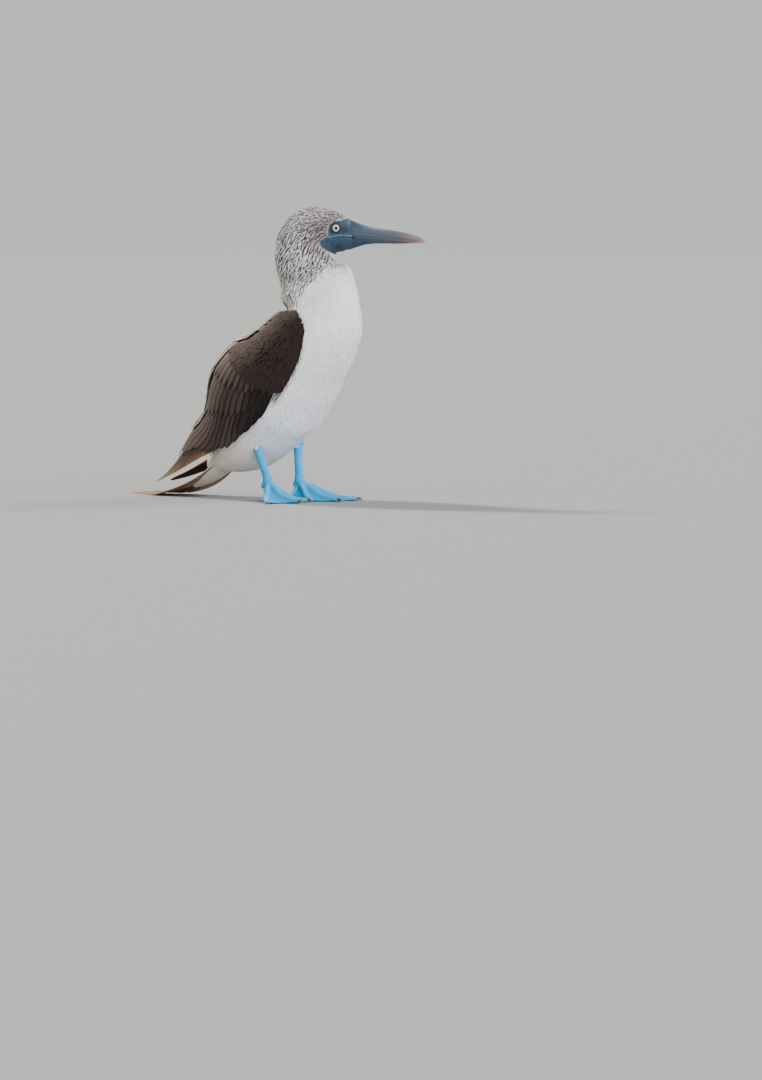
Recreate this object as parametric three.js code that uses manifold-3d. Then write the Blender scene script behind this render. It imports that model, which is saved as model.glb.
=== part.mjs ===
// A blue-footed booby, life size, standing with its head turned to its left.
// Millimetres. +X is the way the breast faces, +Y the bird's left, +Z up, the floor at z = 0.
import * as THREE from "three";
import { mergeVertices } from "three/addons/utils/BufferGeometryUtils.js";
import Module from "manifold-3d";

const wasm = await Module();
wasm.setup();

// Driving sizes of a male
const CULMEN = 105.6; // bill, from the forehead feathers to the tip
const TARSUS = 52; // bare leg, heel to toe joint
const TAIL = 222; // longest tail feather
const ANKLE_HEIGHT = 28; // toe joint above the floor, with the toes arched
const STANCE = 59; // between the two toe joints
const MIDDLE_TOE = 88;
const EYEBALL = 7; // radius
const HEAD_TURN = 45; // degrees to the left of the breast
const GAP = 0.3; // between solids that touch
const SKIN = 0.35; // how far the wings and the tail keep off the flesh

const deg = THREE.MathUtils.degToRad;
const { lerp, smoothstep, clamp } = THREE.MathUtils;
const v3 = (x, y, z) => new THREE.Vector3(x, y, z);

// Solids

// A closed geometry as a solid that faces outwards.
function solid(geometry) {
  const bare = new THREE.BufferGeometry();
  bare.setAttribute("position", geometry.getAttribute("position").clone());
  bare.setIndex(geometry.index);
  const merged = mergeVertices(bare, 1e-3);
  const corners = merged.index.array;
  const whole = [];
  for (let i = 0; i < corners.length; i += 3) {
    const [a, b, c] = corners.slice(i, i + 3);
    if (a !== b && b !== c && c !== a) whole.push(a, b, c);
  }
  const made = (triVerts) =>
    new wasm.Manifold(
      new wasm.Mesh({ numProp: 3, vertProperties: merged.attributes.position.array, triVerts }),
    );
  const first = made(new Uint32Array(whole));
  if (first.volume() > 0) return first;
  for (let i = 0; i < whole.length; i += 3) [whole[i + 1], whole[i + 2]] = [whole[i + 2], whole[i + 1]];
  return made(new Uint32Array(whole));
}

// The largest closed body of a solid, with its outer surface only.
function largest(shape) {
  const bodies = shape.decompose();
  return bodies.reduce((best, one) => (one.volume() > best.volume() ? one : best));
}

const joined = (shapes) => shapes.reduce((sum, one) => sum.add(one));

function geometryOf(shape) {
  const mesh = shape.getMesh();
  const geometry = new THREE.BufferGeometry();
  const points = new Float32Array(mesh.numVert * 3);
  for (let i = 0; i < mesh.numVert; i++) {
    points.set(mesh.vertProperties.subarray(i * mesh.numProp, i * mesh.numProp + 3), i * 3);
  }
  geometry.setAttribute("position", new THREE.BufferAttribute(points, 3));
  geometry.setIndex(new THREE.BufferAttribute(mesh.triVerts, 1));
  geometry.computeVertexNormals();
  return geometry;
}

// A box with its low and high corners given in a frame.
function block(low, high, frame = new THREE.Matrix4()) {
  const size = high.clone().sub(low);
  const box = new THREE.BoxGeometry(size.x, size.y, size.z);
  box.translate((low.x + high.x) / 2, (low.y + high.y) / 2, (low.z + high.z) / 2);
  return solid(box.applyMatrix4(frame));
}

// Everything on one side of a plane: beyond it along its normal, from the stated distance on.
function beyond(point, normal, distance, reach = 600) {
  const turn = new THREE.Quaternion().setFromUnitVectors(v3(0, 0, 1), normal.clone().normalize());
  const frame = new THREE.Matrix4().compose(point, turn, v3(1, 1, 1));
  return block(v3(-reach, -reach, distance), v3(reach, reach, reach), frame);
}

// A closed skin through cross-sections. Each station gives the centre, the half depth and half width of an
// ellipse, the pitch of the body's line there and how far it has turned to the left.
class Loft {
  constructor(stations) {
    this.centre = new THREE.CatmullRomCurve3(stations.map((s) => v3(s[0], s[1], s[2])));
    this.half = new THREE.CatmullRomCurve3(stations.map((s) => v3(s[3], s[4], 0)));
    this.aim = new THREE.CatmullRomCurve3(stations.map((s) => v3(s[5], s[6] ?? 0, 0)));
    this.last = stations.length - 1;
  }

  // t runs from the first station to the last, and around from the back (0) over the left side (90).
  point(t, around, grow = 0) {
    const half = this.half.getPoint(t);
    const aim = this.aim.getPoint(t);
    const pitch = deg(aim.x);
    const turn = deg(aim.y);
    const up = v3(-Math.sin(pitch) * Math.cos(turn), -Math.sin(pitch) * Math.sin(turn), Math.cos(pitch));
    const left = v3(-Math.sin(turn), Math.cos(turn), 0);
    const a = deg(around);
    return this.centre
      .getPoint(t)
      .addScaledVector(up, (half.x + grow) * Math.cos(a))
      .addScaledVector(left, (half.y + grow) * Math.sin(a));
  }

  normal(t, around) {
    const step = 0.004;
    const along = this.point(Math.min(t + step, 1), around).sub(this.point(Math.max(t - step, 0), around));
    const across = this.point(t, around + 2).sub(this.point(t, around - 2));
    return along.cross(across).normalize();
  }

  // A point lifted off the skin.
  off(t, around, lift) {
    return this.point(t, around).addScaledVector(this.normal(t, around), lift);
  }

  skin(rings, sides, grow = 0) {
    const ball = new THREE.SphereGeometry(1, sides, rings);
    const place = ball.getAttribute("position");
    const at = v3();
    for (let i = 0; i < place.count; i++) {
      at.fromBufferAttribute(place, i);
      const t = Math.acos(clamp(at.y, -1, 1)) / Math.PI;
      const pole = Math.hypot(at.x, at.z) < 1e-5;
      const around = (Math.atan2(at.z, at.x) * 180) / Math.PI;
      const reach = pole ? this.centre.getPoint(t) : this.point(t, around, grow);
      if (pole && grow) reach.addScaledVector(this.centre.getTangent(t), t < 0.5 ? -grow : grow);
      place.setXYZ(i, reach.x, reach.y, reach.z);
    }
    return solid(ball);
  }
}

// A thin closed sheet on a grid, with both faces split into triangles alike. middle(u, v) gives a point and
// the way its upper face looks, thick(u, v) its thickness.
function sheet(along, across, middle, thick) {
  const points = [];
  const index = [];
  const row = across + 1;
  const face = (along + 1) * row;
  for (const side of [0.5, -0.5]) {
    for (let i = 0; i <= along; i++) {
      for (let j = 0; j <= across; j++) {
        const [at, up] = middle(i / along, j / across);
        points.push(...at.clone().addScaledVector(up, side * thick(i / along, j / across)).toArray());
      }
    }
  }
  const quad = (a, b, c, d) => index.push(a, b, c, a, c, d);
  for (let i = 0; i < along; i++) {
    for (let j = 0; j < across; j++) {
      const a = i * row + j;
      index.push(a, a + row, a + row + 1, a, a + row + 1, a + 1);
      const b = a + face;
      index.push(b, b + row + 1, b + row, b, b + 1, b + row + 1);
    }
    quad(i * row, i * row + face, (i + 1) * row + face, (i + 1) * row);
    const e = i * row + across;
    quad(e, e + row, e + row + face, e + face);
  }
  for (let j = 0; j < across; j++) {
    quad(j, j + 1, j + 1 + face, j + face);
    const e = along * row + j;
    quad(e, e + face, e + 1 + face, e + 1);
  }
  const geometry = new THREE.BufferGeometry();
  geometry.setAttribute("position", new THREE.Float32BufferAttribute(points, 3));
  geometry.setIndex(index);
  return solid(geometry);
}

// A round limb along a curve, its radius given along it. Its cross-section stays upright where the curve is
// level and keeps its front to the bird's front where the curve is steep.
function limb(curve, radius, rings, sides, flatten = 1) {
  const ball = new THREE.SphereGeometry(1, sides, rings);
  const place = ball.getAttribute("position");
  const at = v3();
  const chord = curve.getPoint(1).sub(curve.getPoint(0));
  const steep = Math.abs(chord.z) > Math.hypot(chord.x, chord.y);
  const across = steep ? v3(0, 1, 0) : v3(-chord.y, chord.x, 0).normalize();
  for (let i = 0; i < place.count; i++) {
    at.fromBufferAttribute(place, i);
    const t = Math.acos(clamp(at.y, -1, 1)) / Math.PI;
    const along = curve.getTangent(t);
    const side = across.clone().addScaledVector(along, -along.dot(across)).normalize();
    const up = along.clone().cross(side);
    const pole = Math.hypot(at.x, at.z) < 1e-5;
    const a = Math.atan2(at.z, at.x);
    const r = pole ? 0 : radius(t);
    const reach = curve.getPoint(t);
    reach.addScaledVector(side, r * Math.cos(a)).addScaledVector(up, r * flatten * Math.sin(a));
    place.setXYZ(i, reach.x, reach.y, reach.z);
  }
  return solid(ball);
}

// Flesh: rump, trunk and neck, then the head, which looks to the left

// x, y, z, half depth, half width, pitch, turn
const RUMP = [
  [-128, 0, 43, 8, 14, 30],
  [-118, 0, 49, 15, 22, 32],
  [-100, 0, 57, 27, 33, 35],
];
const TRUNK = [
  [-72, 0, 71, 39, 47, 39],
  [-49, 0, 97, 53, 60, 43],
  [-32, 0, 122, 65, 68, 46],
  [-12.5, 0, 144.7, 71.5, 74, 49],
  [11.7, 0, 171.4, 68.5, 75, 55],
  [29.4, 0, 188.6, 63.5, 72, 61],
  [47.2, 0, 207.3, 61.5, 68, 68],
  [71, 0, 236.7, 55, 56.5, 82],
];
const NECK = [
  [76, 1, 257, 49, 46.5, 97, 3],
  [64, 2, 280, 53, 42.5, 106, 12],
  [54, 6, 299, 48, 38.5, 106, 24],
];
const EYES = v3(68.4, 30.4, 362.5); // halfway between the two eyes
const headForward = v3(Math.cos(deg(HEAD_TURN)), Math.sin(deg(HEAD_TURN)), 0);
const headLeft = v3(-headForward.y, headForward.x, 0);

// A point of the head from its distance forward and above the line of the eyes, and to the left.
const inHead = (forward, up, left = 0) =>
  EYES.clone().addScaledVector(headForward, forward).addScaledVector(headLeft, left).add(v3(0, 0, up));

// Forward and up from the eyes, half depth, half width, pitch
const HEAD = [
  [-40.5, -44, 39.5, 31.5, 92],
  [-37, -20, 40.5, 28.5, 72],
  [-28.5, -8.3, 39.5, 26.5, 53],
  [-15.8, -2, 36.9, 24, 37],
  [-2, -2.3, 31, 20.5, 23],
  [9, -4.5, 25, 16.6, 11.5],
  [15.3, -6.4, 22.3, 14.2, 7],
  [20.5, -8.2, 19.5, 12.3, 4],
  [26, -9, 16, 10, 0],
];
const headStation = ([forward, up, deep, wide, pitch]) => {
  const at = inHead(forward, up);
  return [at.x, at.y, at.z, deep, wide, pitch, HEAD_TURN];
};
const flesh = new Loft([...RUMP, ...TRUNK, ...NECK, ...HEAD.map(headStation)]);
const FLESH_RINGS = 36;
const FLESH_SIDES = 20;
const wholeFlesh = flesh.skin(FLESH_RINGS, FLESH_SIDES);
const clearOfFlesh = flesh.skin(FLESH_RINGS, FLESH_SIDES, SKIN);

const parts = new THREE.Group();
const finish = {
  white: { color: 0xe9e6df, roughness: 0.9 },
  streaked: { color: 0xcfc6ba, roughness: 0.9 },
  brown: { color: 0x4a3a31, roughness: 0.8 },
  tail: { color: 0x6d5a4a, roughness: 0.8 },
  horn: { color: 0x7d8d99, roughness: 0.45 },
  blue: { color: 0x46b4dd, roughness: 0.4 },
  claw: { color: 0x6b5f58, roughness: 0.5 },
  eye: { color: 0xe9e6b4, roughness: 0.1 },
};
function add(name, shape, look) {
  const mesh = new THREE.Mesh(geometryOf(shape), new THREE.MeshStandardMaterial({ metalness: 0, ...look }));
  mesh.name = name;
  parts.add(mesh);
}

// Legs: a feathered thigh, a bare leg and a webbed foot with its claws

const below = block(v3(-600, -600, -50), v3(600, 600, 0));
const LEGS = {
  right: { side: -1, ankle: v3(0, -STANCE / 2, ANKLE_HEIGHT), heel: v3(-17, -33.5, ANKLE_HEIGHT + TARSUS - 1) },
  left: { side: 1, ankle: v3(0, STANCE / 2, ANKLE_HEIGHT), heel: v3(-9, 36.5, ANKLE_HEIGHT + TARSUS) },
};
// Length, angle outwards from straight ahead on the right and on the left, radius, claw length
const TOES = {
  outer: [MIDDLE_TOE * 1.03, 44, 18, 3.9, 8],
  middle: [MIDDLE_TOE, 15, -7, 4.1, 10],
  inner: [MIDDLE_TOE * 0.75, -12, -32, 3.7, 8],
  hind: [MIDDLE_TOE * 0.3, -64, -84, 2.9, 6.5],
};
const THIGH_END = 68; // height at which the feathers of the leg stop

function toeCurve(leg, name) {
  const [length, right, left] = TOES[name];
  const out = deg(leg.side < 0 ? right : left) * leg.side;
  const way = v3(Math.cos(out), Math.sin(out), 0);
  const heights = name === "hind" ? [18, 13, 8, 4.4, 2.4] : [21, 18, 12.5, 7.2, 4, 2.9, 2.7];
  const last = heights.length - 1;
  const points = heights.map((height, i) => {
    const run = (i / last) * (length - 3) + 3;
    const bow = Math.sin((Math.PI * i) / last) * 1.5 * leg.side;
    return v3(leg.ankle.x, leg.ankle.y, height)
      .addScaledVector(way, run)
      .add(v3(-way.y * bow, way.x * bow, 0));
  });
  return { curve: new THREE.CatmullRomCurve3(points), way, length };
}

function web(first, second, reach, dip) {
  const middle = (u, v) => {
    const end = reach * (1 - dip * Math.sin(Math.PI * v));
    const along = lerp(0.1, end, u);
    const at = first.curve.getPoint(along * 0.985).lerp(second.curve.getPoint(along * 0.985), v);
    const sag = Math.sin(Math.PI * v) * lerp(0.6, 1.4, u);
    at.z = Math.max(at.z - sag, 0.75);
    return [at, v3(0, 0, 1)];
  };
  return sheet(4, 2, middle, (u) => lerp(1.7, 1.2, u));
}

for (const [side, leg] of Object.entries(LEGS)) {
  const down = leg.ankle.clone().sub(leg.heel).normalize();
  const thighCut = leg.heel.clone().lerp(leg.ankle, (leg.heel.z - THIGH_END) / (leg.heel.z - leg.ankle.z));
  const thighLine = new THREE.CatmullRomCurve3([
    v3(leg.heel.x + 8, leg.heel.y - leg.side * 2, 128),
    v3(leg.heel.x + 2, leg.heel.y - leg.side * 1, 104),
    leg.heel.clone().add(v3(0, 0, 4)),
    thighCut.clone().addScaledVector(down, 6),
  ]);
  const thighRadius = (t) => lerp(22, 8.8, smoothstep(t, 0.25, 0.95)) * Math.sin(Math.min(t * 3.2 + 0.35, 1.5));
  const thigh = limb(thighLine, thighRadius, 11, 12);
  const room = limb(thighLine, (t) => thighRadius(t) + 0.5, 11, 12);
  leg.room = room.add(solid(geometryOf(room).translate(0, 0, 0.5)));
  leg.thigh = thigh.subtract(beyond(thighCut, down, 0));

  const line = new THREE.CatmullRomCurve3([
    leg.heel.clone(),
    leg.heel.clone().lerp(leg.ankle, 0.5).add(v3(-0.8, 0, 0)),
    leg.ankle.clone().add(v3(0, 0, 1)),
    leg.ankle.clone().add(v3(2, 0, -8)),
  ]);
  const thick = (t) => lerp(6.2, 4.9, smoothstep(t, 0, 0.4)) + 2.5 * smoothstep(t, 0.66, 1);
  leg.room = leg.room.add(limb(line, (t) => thick(t) + 0.5, 12, 12, 1.18));
  leg.tarsus = limb(line, thick, 12, 12, 1.18)
    .intersect(beyond(thighCut, down, GAP))
    .subtract(block(v3(-200, -200, -50), v3(200, 200, ANKLE_HEIGHT + GAP)));

  const toes = {};
  for (const name of Object.keys(TOES)) toes[name] = toeCurve(leg, name);
  const instep = new THREE.CatmullRomCurve3([
    leg.ankle.clone().add(v3(-6, 0, -11)),
    leg.ankle.clone().add(v3(-1, 0, -5)),
    leg.ankle.clone().add(v3(9, 0, -9)),
  ]);
  const joint = new THREE.CatmullRomCurve3([
    leg.ankle.clone().add(v3(0, 0, 6)),
    leg.ankle.clone().add(v3(1, 0, -12)),
  ]);
  const pieces = [
    limb(instep, () => 7.8, 5, 7),
    limb(joint, () => 7.4, 4, 7),
    web(toes.outer, toes.middle, 0.97, 0.1),
    web(toes.middle, toes.inner, 0.97, 0.07),
    web(toes.inner, toes.hind, 0.93, 0.3),
  ];
  const cuts = [];
  for (const [name, toe] of Object.entries(toes)) {
    const [length, , , radius, clawLength] = TOES[name];
    const joints = name === "hind" ? 1 : { outer: 4, middle: 3, inner: 2 }[name];
    const swell = (t) => radius * (lerp(1.12, 0.8, t) + 0.07 * Math.cos(2 * Math.PI * joints * t));
    const blunt = (t) => swell(t) * Math.min(1, Math.sqrt((1 - t) * 12 + 0.3));
    pieces.push(limb(toe.curve, blunt, name === "hind" ? 5 : 8, 6));
    const end = toe.curve.getPoint(0.955);
    const way = toe.curve.getTangent(0.955);
    const aside = v3(-toe.way.y, toe.way.x, 0);
    const turned = new THREE.Matrix4().makeBasis(way, aside, way.clone().cross(aside)).setPosition(end);
    cuts.push(block(v3(0, -6, -6), v3(9, 6, 6), turned));
    const clawLine = new THREE.CatmullRomCurve3([
      end.clone().addScaledVector(way, -2),
      end.clone().addScaledVector(way, clawLength * 0.45).add(v3(0, 0, 0.9)),
      end.clone().addScaledVector(way, clawLength * 0.8).add(v3(0, 0, 0.1)),
      v3(end.x, end.y, 0.9).addScaledVector(toe.way, clawLength),
    ]);
    const nail = limb(clawLine, (t) => radius * 0.62 * Math.sqrt(Math.max(1 - t, 0)) + 0.02, 5, 6, 0.9);
    leg[name] = nail.intersect(block(v3(GAP, -8, -8), v3(20, 8, 8), turned)).subtract(below);
  }
  leg.foot = joined(pieces)
    .subtract(joined([...cuts, below]))
    .subtract(block(v3(-200, -200, ANKLE_HEIGHT), v3(200, 200, 200)));
}

// Torso, neck and head, parted by thin cuts

const neckCut = { at: v3(74, 0, 247), normal: v3(-0.1, 0, 1) };
const headCut = { at: v3(48, 0, 316), normal: v3(0.05, 0.05, 1) };
const billCut = { at: inHead(19.6, -6), normal: headForward.clone().add(v3(0, 0, 0.12)).normalize() };

const torso = wholeFlesh
  .subtract(beyond(neckCut.at, neckCut.normal, -GAP / 2))
  .subtract(joined(Object.values(LEGS).map((leg) => leg.room)));
add("torso", largest(torso), finish.white);
const aboveNeckCut = wholeFlesh.intersect(beyond(neckCut.at, neckCut.normal, GAP / 2));
add("neck", largest(aboveNeckCut.subtract(beyond(headCut.at, headCut.normal, -GAP / 2))), finish.streaked);

// The line of the mouth and the bill's cutting edge, forward and up from the eyes
const MOUTH = [
  [-7, -13.4],
  [6.5, -11.6],
  [21.7, -12.4],
  [37, -12.8],
  [52.3, -13.4],
  [67, -14.8],
  [82.9, -16.4],
  [98, -18],
  [108, -18.7],
  [122, -18.9],
];
const mouth = new THREE.CatmullRomCurve3(MOUTH.map(([forward, up]) => v3(forward, up, 0)));
function mouthHeight(forward) {
  let low = 0;
  let high = 1;
  for (let i = 0; i < 24; i++) {
    const half = (low + high) / 2;
    if (mouth.getPoint(half).x < forward) low = half;
    else high = half;
  }
  return mouth.getPoint(low).y;
}

// The place on the head's skin at a distance forward and up from the eyes, on the side stated.
function onFace(forward, up, side) {
  let best = [Infinity];
  for (let i = 0; i <= 60; i++) {
    for (let j = 0; j <= 60; j++) {
      const t = lerp(0.66, 1, i / 60);
      const around = side * lerp(20, 165, j / 60);
      const at = flesh.point(t, around).sub(EYES);
      const miss = Math.hypot(at.dot(headForward) - forward, at.z - up);
      if (miss < best[0]) best = [miss, t, around];
    }
  }
  return flesh.point(best[1], best[2]);
}

let head = wholeFlesh
  .intersect(beyond(headCut.at, headCut.normal, GAP / 2))
  .subtract(beyond(billCut.at, billCut.normal, 0));
for (const side of [-1, 1]) {
  const out = headLeft.clone().multiplyScalar(side);
  const alongMouth = (u, v) => {
    const forward = lerp(-7, 22, u);
    const deep = lerp(-1.5 * smoothstep(u, 0, 0.25), 4, v);
    return [onFace(forward, mouthHeight(forward), side).addScaledVector(out, deep), v3(0, 0, 1)];
  };
  const groove = sheet(5, 1, alongMouth, (u, v) => lerp(0.3, 1.3, v));
  head = head.subtract(groove);
}
const EYE_FORWARD = deg(16); // how far each eye looks ahead of straight out
for (const [name, side] of [["eye_right", -1], ["eye_left", 1]]) {
  const out = headLeft
    .clone()
    .multiplyScalar(side * Math.cos(EYE_FORWARD))
    .addScaledVector(headForward, Math.sin(EYE_FORWARD));
  const look = new THREE.Quaternion().setFromUnitVectors(v3(0, 0, 1), out);
  const place = new THREE.Matrix4().compose(inHead(-1, 0, side * 13.2), look, v3(1, 1, 1));
  const ball = (radius) =>
    solid(new THREE.SphereGeometry(radius, 13, 8).rotateX(Math.PI / 2).applyMatrix4(place));
  const lid = solid(new THREE.TorusGeometry(6.1, 1.3, 5, 13).translate(0, 0, 4.7).applyMatrix4(place));
  head = head.add(lid).subtract(ball(EYEBALL + GAP * 1.5));
  add(name, ball(EYEBALL), finish.eye);
}
add("head", largest(head), finish.streaked);

// Bill: forward and up from the eyes, half depth, half width
const BILL = [
  [14, -8.8, 22.2, 14],
  [21.5, -9.2, 18.9, 12.2],
  [30, -9.5, 15.7, 10.6],
  [40, -9.5, 12.6, 9.1],
  [52, -10.1, 10.6, 7.8],
  [66, -11, 9.6, 6.8],
  [80, -12.2, 8.6, 5.8],
  [92, -13.4, 7.2, 4.9],
  [102, -14.4, 5.8, 4],
  [110, -15.7, 4.2, 3],
  [116, -17.2, 2.2, 1.9],
  [19.8 + CULMEN * 0.945, -18.3, 0.5, 0.7],
];
const billStation = ([forward, up, deep, wide]) => {
  const at = inHead(forward, up);
  return [at.x, at.y, at.z, deep, wide, -4, HEAD_TURN];
};
const bill = new Loft(BILL.map(billStation));
const billSolid = bill.skin(18, 12).intersect(beyond(billCut.at, billCut.normal, GAP));
const jawLine = Array.from({ length: 15 }, (_, i) => {
  const forward = lerp(-5, 121, i / 14);
  return new THREE.Vector2(forward, mouthHeight(forward));
});
const belowMouth = new THREE.Shape([new THREE.Vector2(-5, -60), ...jawLine, new THREE.Vector2(121, -60)]);
function mandibleCut(drop) {
  const geometry = new THREE.ExtrudeGeometry(belowMouth, { depth: 60, bevelEnabled: false, steps: 1 });
  geometry.translate(0, -drop, -30);
  const frame = new THREE.Matrix4().makeBasis(headForward, v3(0, 0, 1), headLeft.clone().negate());
  return solid(geometry.applyMatrix4(frame.setPosition(EYES)));
}
add("bill_upper", largest(billSolid.subtract(mandibleCut(0))), finish.horn);
add("bill_lower", largest(billSolid.intersect(mandibleCut(GAP))), finish.horn);

for (const [side, leg] of Object.entries(LEGS)) {
  add(`thigh_${side}`, largest(leg.thigh), finish.white);
  add(`tarsus_${side}`, largest(leg.tarsus), finish.blue);
  add(`foot_${side}`, largest(leg.foot), finish.blue);
  for (const name of Object.keys(TOES)) add(`claw_${side}_${name}`, largest(leg[name]), finish.claw);
}

// Wings, folded on a bed that follows the trunk and runs on over the tail

const BED = [
  [-236, 0, 12, 7, 16, 14],
  [-205, 0, 21, 12, 25, 20],
  [-170, 0, 33, 23, 35, 27],
  [-137, 0, 47, 37, 46, 33],
  [-104, 0, 65, 50, 53, 36],
  [-75, 0, 80, 57, 57, 39],
  [-51, 0, 103, 68, 66, 43],
  [-34, 0, 126, 75, 72, 46],
  [-13.5, 0, 146.7, 74, 77, 49],
  [10.7, 0, 172.4, 67.5, 75, 55],
  [29.4, 0, 187.6, 60, 70, 61],
  [47.2, 0, 206.3, 55.5, 65, 68],
  [71, 0, 236.7, 52, 55, 82],
  [77, 0, 254, 47, 46, 95],
];
const bed = new Loft(BED);
const LAST = BED.length - 1;
// The front and lower edge of the folded wing at each station, in degrees from the back
const WING_EDGE = [60, 68, 78, 90, 98, 106, 114, 124, 130, 130, 129, 126, 112, 86];
const wingBottom = new THREE.CatmullRomCurve3(WING_EDGE.map((around, i) => v3(i, around, 0)));
const edgeAt = (index) => wingBottom.getPoint(index / LAST).y;
// The left wing is held a little higher on the flank than the right one.
const REACH = { left: 0.87, right: -1 };

// Small differences from feather to feather, the same every time
let seed = 5;
function vary(amount) {
  seed = (seed * 16807) % 2147483647;
  return (seed / 2147483647 - 0.5) * 2 * amount;
}

const VANE = 0.6; // thickness of a vane
const SHINGLE = 1.2; // rise from one vane to the next that lies over it

function featheredWing(side) {
  const onBed = (index, around, lift) => {
    const t = clamp(index / LAST, 0, 1);
    return [bed.off(t, around * REACH[side], lift), bed.normal(t, around * REACH[side])];
  };

  // A tier of feathers whose roots and tips each run along a line, given at its two ends and its middle, as
  // index and angle on the bed. Each feather's lower edge lies clear over the next one out.
  function tier({ count, roots, tips, bow = 0, lift, wide = 0.68, steps = 4 }) {
    const bend = (line) => new THREE.QuadraticBezierCurve(...line.map((at) => new THREE.Vector2(...at)));
    const [rootLine, tipLine] = [bend(roots), bend(tips)];
    return Array.from({ length: count }, (_, k) => {
      const long = 1 + vary(0.015);
      const middle = (step, v) => {
        const u = 1 - Math.pow(1 - step, 1.3);
        const late = Math.max(u - 0.75, 0) / 0.27;
        const aside = (v * 2 - 1) * wide * Math.sqrt(1 - late * late);
        const place = (k + aside) / (count - 1);
        const at = rootLine.getPoint(place).lerp(tipLine.getPoint(place), u * long);
        const fall = 3.5 * (1 - smoothstep(place, -0.05, 0.2)) + 1.2 * smoothstep(place, 0.5, 0.95);
        const rise = lift - SHINGLE * aside - fall;
        return onBed(at.x, at.y + bow * Math.sin(Math.PI * u), rise);
      };
      return sheet(steps, 1, middle, () => VANE);
    });
  }

  // The long outer feathers lie flat, stacked one over the next.
  function stack({ count, roots, tips, bow, half, lift, rise, steps }) {
    return Array.from({ length: count }, (_, k) => {
      const t = k / (count - 1);
      const root = new THREE.Vector2(...roots[0]).lerp(new THREE.Vector2(...roots[1]), t);
      const tip = new THREE.Vector2(...tips[0]).lerp(new THREE.Vector2(...tips[1]), t);
      const path = (u) => root.clone().lerp(tip, u).add(new THREE.Vector2(0, bow * Math.sin(Math.PI * u)));
      const middle = (step, v) => {
        const u = 1 - Math.pow(1 - step, 1.2);
        const at = path(u);
        const mmAround = onBed(at.x, at.y + 1, 0)[0].distanceTo(onBed(at.x, at.y - 1, 0)[0]) / 2;
        const late = Math.max(u - 0.5, 0) / 0.52;
        const offset = ((v * 2 - 1) * half * Math.pow(1 - late * late, 0.7)) / mmAround;
        return onBed(at.x, at.y + offset, lift + rise * k);
      };
      return sheet(steps, 1, middle, () => VANE);
    });
  }

  // A pad that fills the wing between two lines along the bed, from one index to another.
  function pad({ from, to, top, inset, low, high, cells }) {
    const thick = (u, v) => {
      const edge = Math.pow(Math.sin(Math.PI * lerp(0.05, 0.95, v)), 0.3);
      const ends = Math.pow(1 - Math.pow(Math.max(u - 0.75, 0) / 0.26, 2), 0.5);
      const thin = lerp(0.8, 1, smoothstep(v, 0.1, 0.5)) * lerp(1, 0.85, smoothstep(u, 0.15, 0.6));
      return lerp(1.4, high, edge * ends * thin);
    };
    const middle = (u, v) => {
      const index = lerp(from, to, u);
      const around = lerp(lerp(top[0], top[1], u), edgeAt(index) - inset, v);
      return onBed(index, around, low + thick(u, v) / 2);
    };
    return sheet(cells[0], cells[1], middle, thick);
  }

  return joined([
    pad({ from: 9.3, to: 12.75, top: [14, 40], inset: 0.5, low: 1.8, high: 10.7, cells: [4, 4] }),
    pad({ from: 5.4, to: 10, top: [90, 98], inset: 8, low: 0.5, high: 3.2, cells: [4, 2] }),
    ...stack({
      count: 4,
      roots: [[6.2, 106], [6, 92]],
      tips: [[0.15, 52], [2.9, 66]],
      bow: 6,
      half: 6.8,
      lift: 0.9,
      rise: 1.05,
      steps: 5,
    }),
    ...tier({
      count: 8,
      roots: [[9.6, 117], [9.55, 84], [9.5, 36]],
      tips: [[7.7, 124], [4.4, 116], [2.3, 40]],
      bow: 3,
      lift: 5.7,
    }),
    ...tier({
      count: 6,
      roots: [[9.7, 115], [9.7, 82], [9.7, 36]],
      tips: [[8.6, 122], [6.6, 106], [4.7, 34]],
      lift: 8.4,
    }),
    ...tier({
      count: 4,
      roots: [[9.8, 112], [9.8, 80], [9.8, 38]],
      tips: [[9, 119], [8.1, 100], [7, 32]],
      lift: 10.9,
      steps: 2,
    }),
  ]);
}
for (const side of ["left", "right"]) {
  add(`wing_${side}`, largest(featheredWing(side).subtract(clearOfFlesh)), finish.brown);
}

// Tail: it leaves the rump at a slope and bends until the tips of its feathers lie on the floor

const TAIL_PAIRS = 6;
const tailLine = new THREE.CatmullRomCurve3([
  v3(-84, 0, 71),
  v3(-116, 0, 46),
  v3(-149, 0, 27),
  v3(-184, 0, 14),
  v3(-221, 0, 6.2),
  v3(-256, 0, 3.2),
  v3(-84 - TAIL * 0.94, 0, 0.35),
]);
// A point of the tail: how far along it, how far to the left and how far above its middle feathers.
function onTail(reach, aside, lift) {
  const along = tailLine.getTangent(reach);
  const up = along.clone().cross(v3(0, 1, 0)).normalize();
  if (up.z < 0) up.negate();
  return [tailLine.getPoint(reach).add(v3(0, aside, 0)).addScaledVector(up, lift), up];
}
function tailFeather(pair, side) {
  const reach = lerp(1, 0.66, Math.pow(pair / (TAIL_PAIRS - 1), 1.15)) * (1 + vary(0.006));
  const drop = -(pair * 2 + (side > 0 ? 0 : 1)) * 0.47;
  const middle = (step, v) => {
    const u = 1 - Math.pow(1 - step, 1.3);
    const centre = side * (lerp(1.5 + pair * 2.1, 3.4 + pair * 5.2, smoothstep(u, 0, 1)) + 0.4);
    const late = Math.max(u - 0.66, 0) / 0.36;
    const round = lerp(0.7, 1, smoothstep(u, 0, 0.4)) * Math.pow(1 - late * late, 0.65);
    return onTail(u * reach, centre + (v * 2 - 1) * 8.6 * round, drop * lerp(0.8, 1, u));
  };
  return sheet(4, 1, middle, () => 0.66);
}
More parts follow.
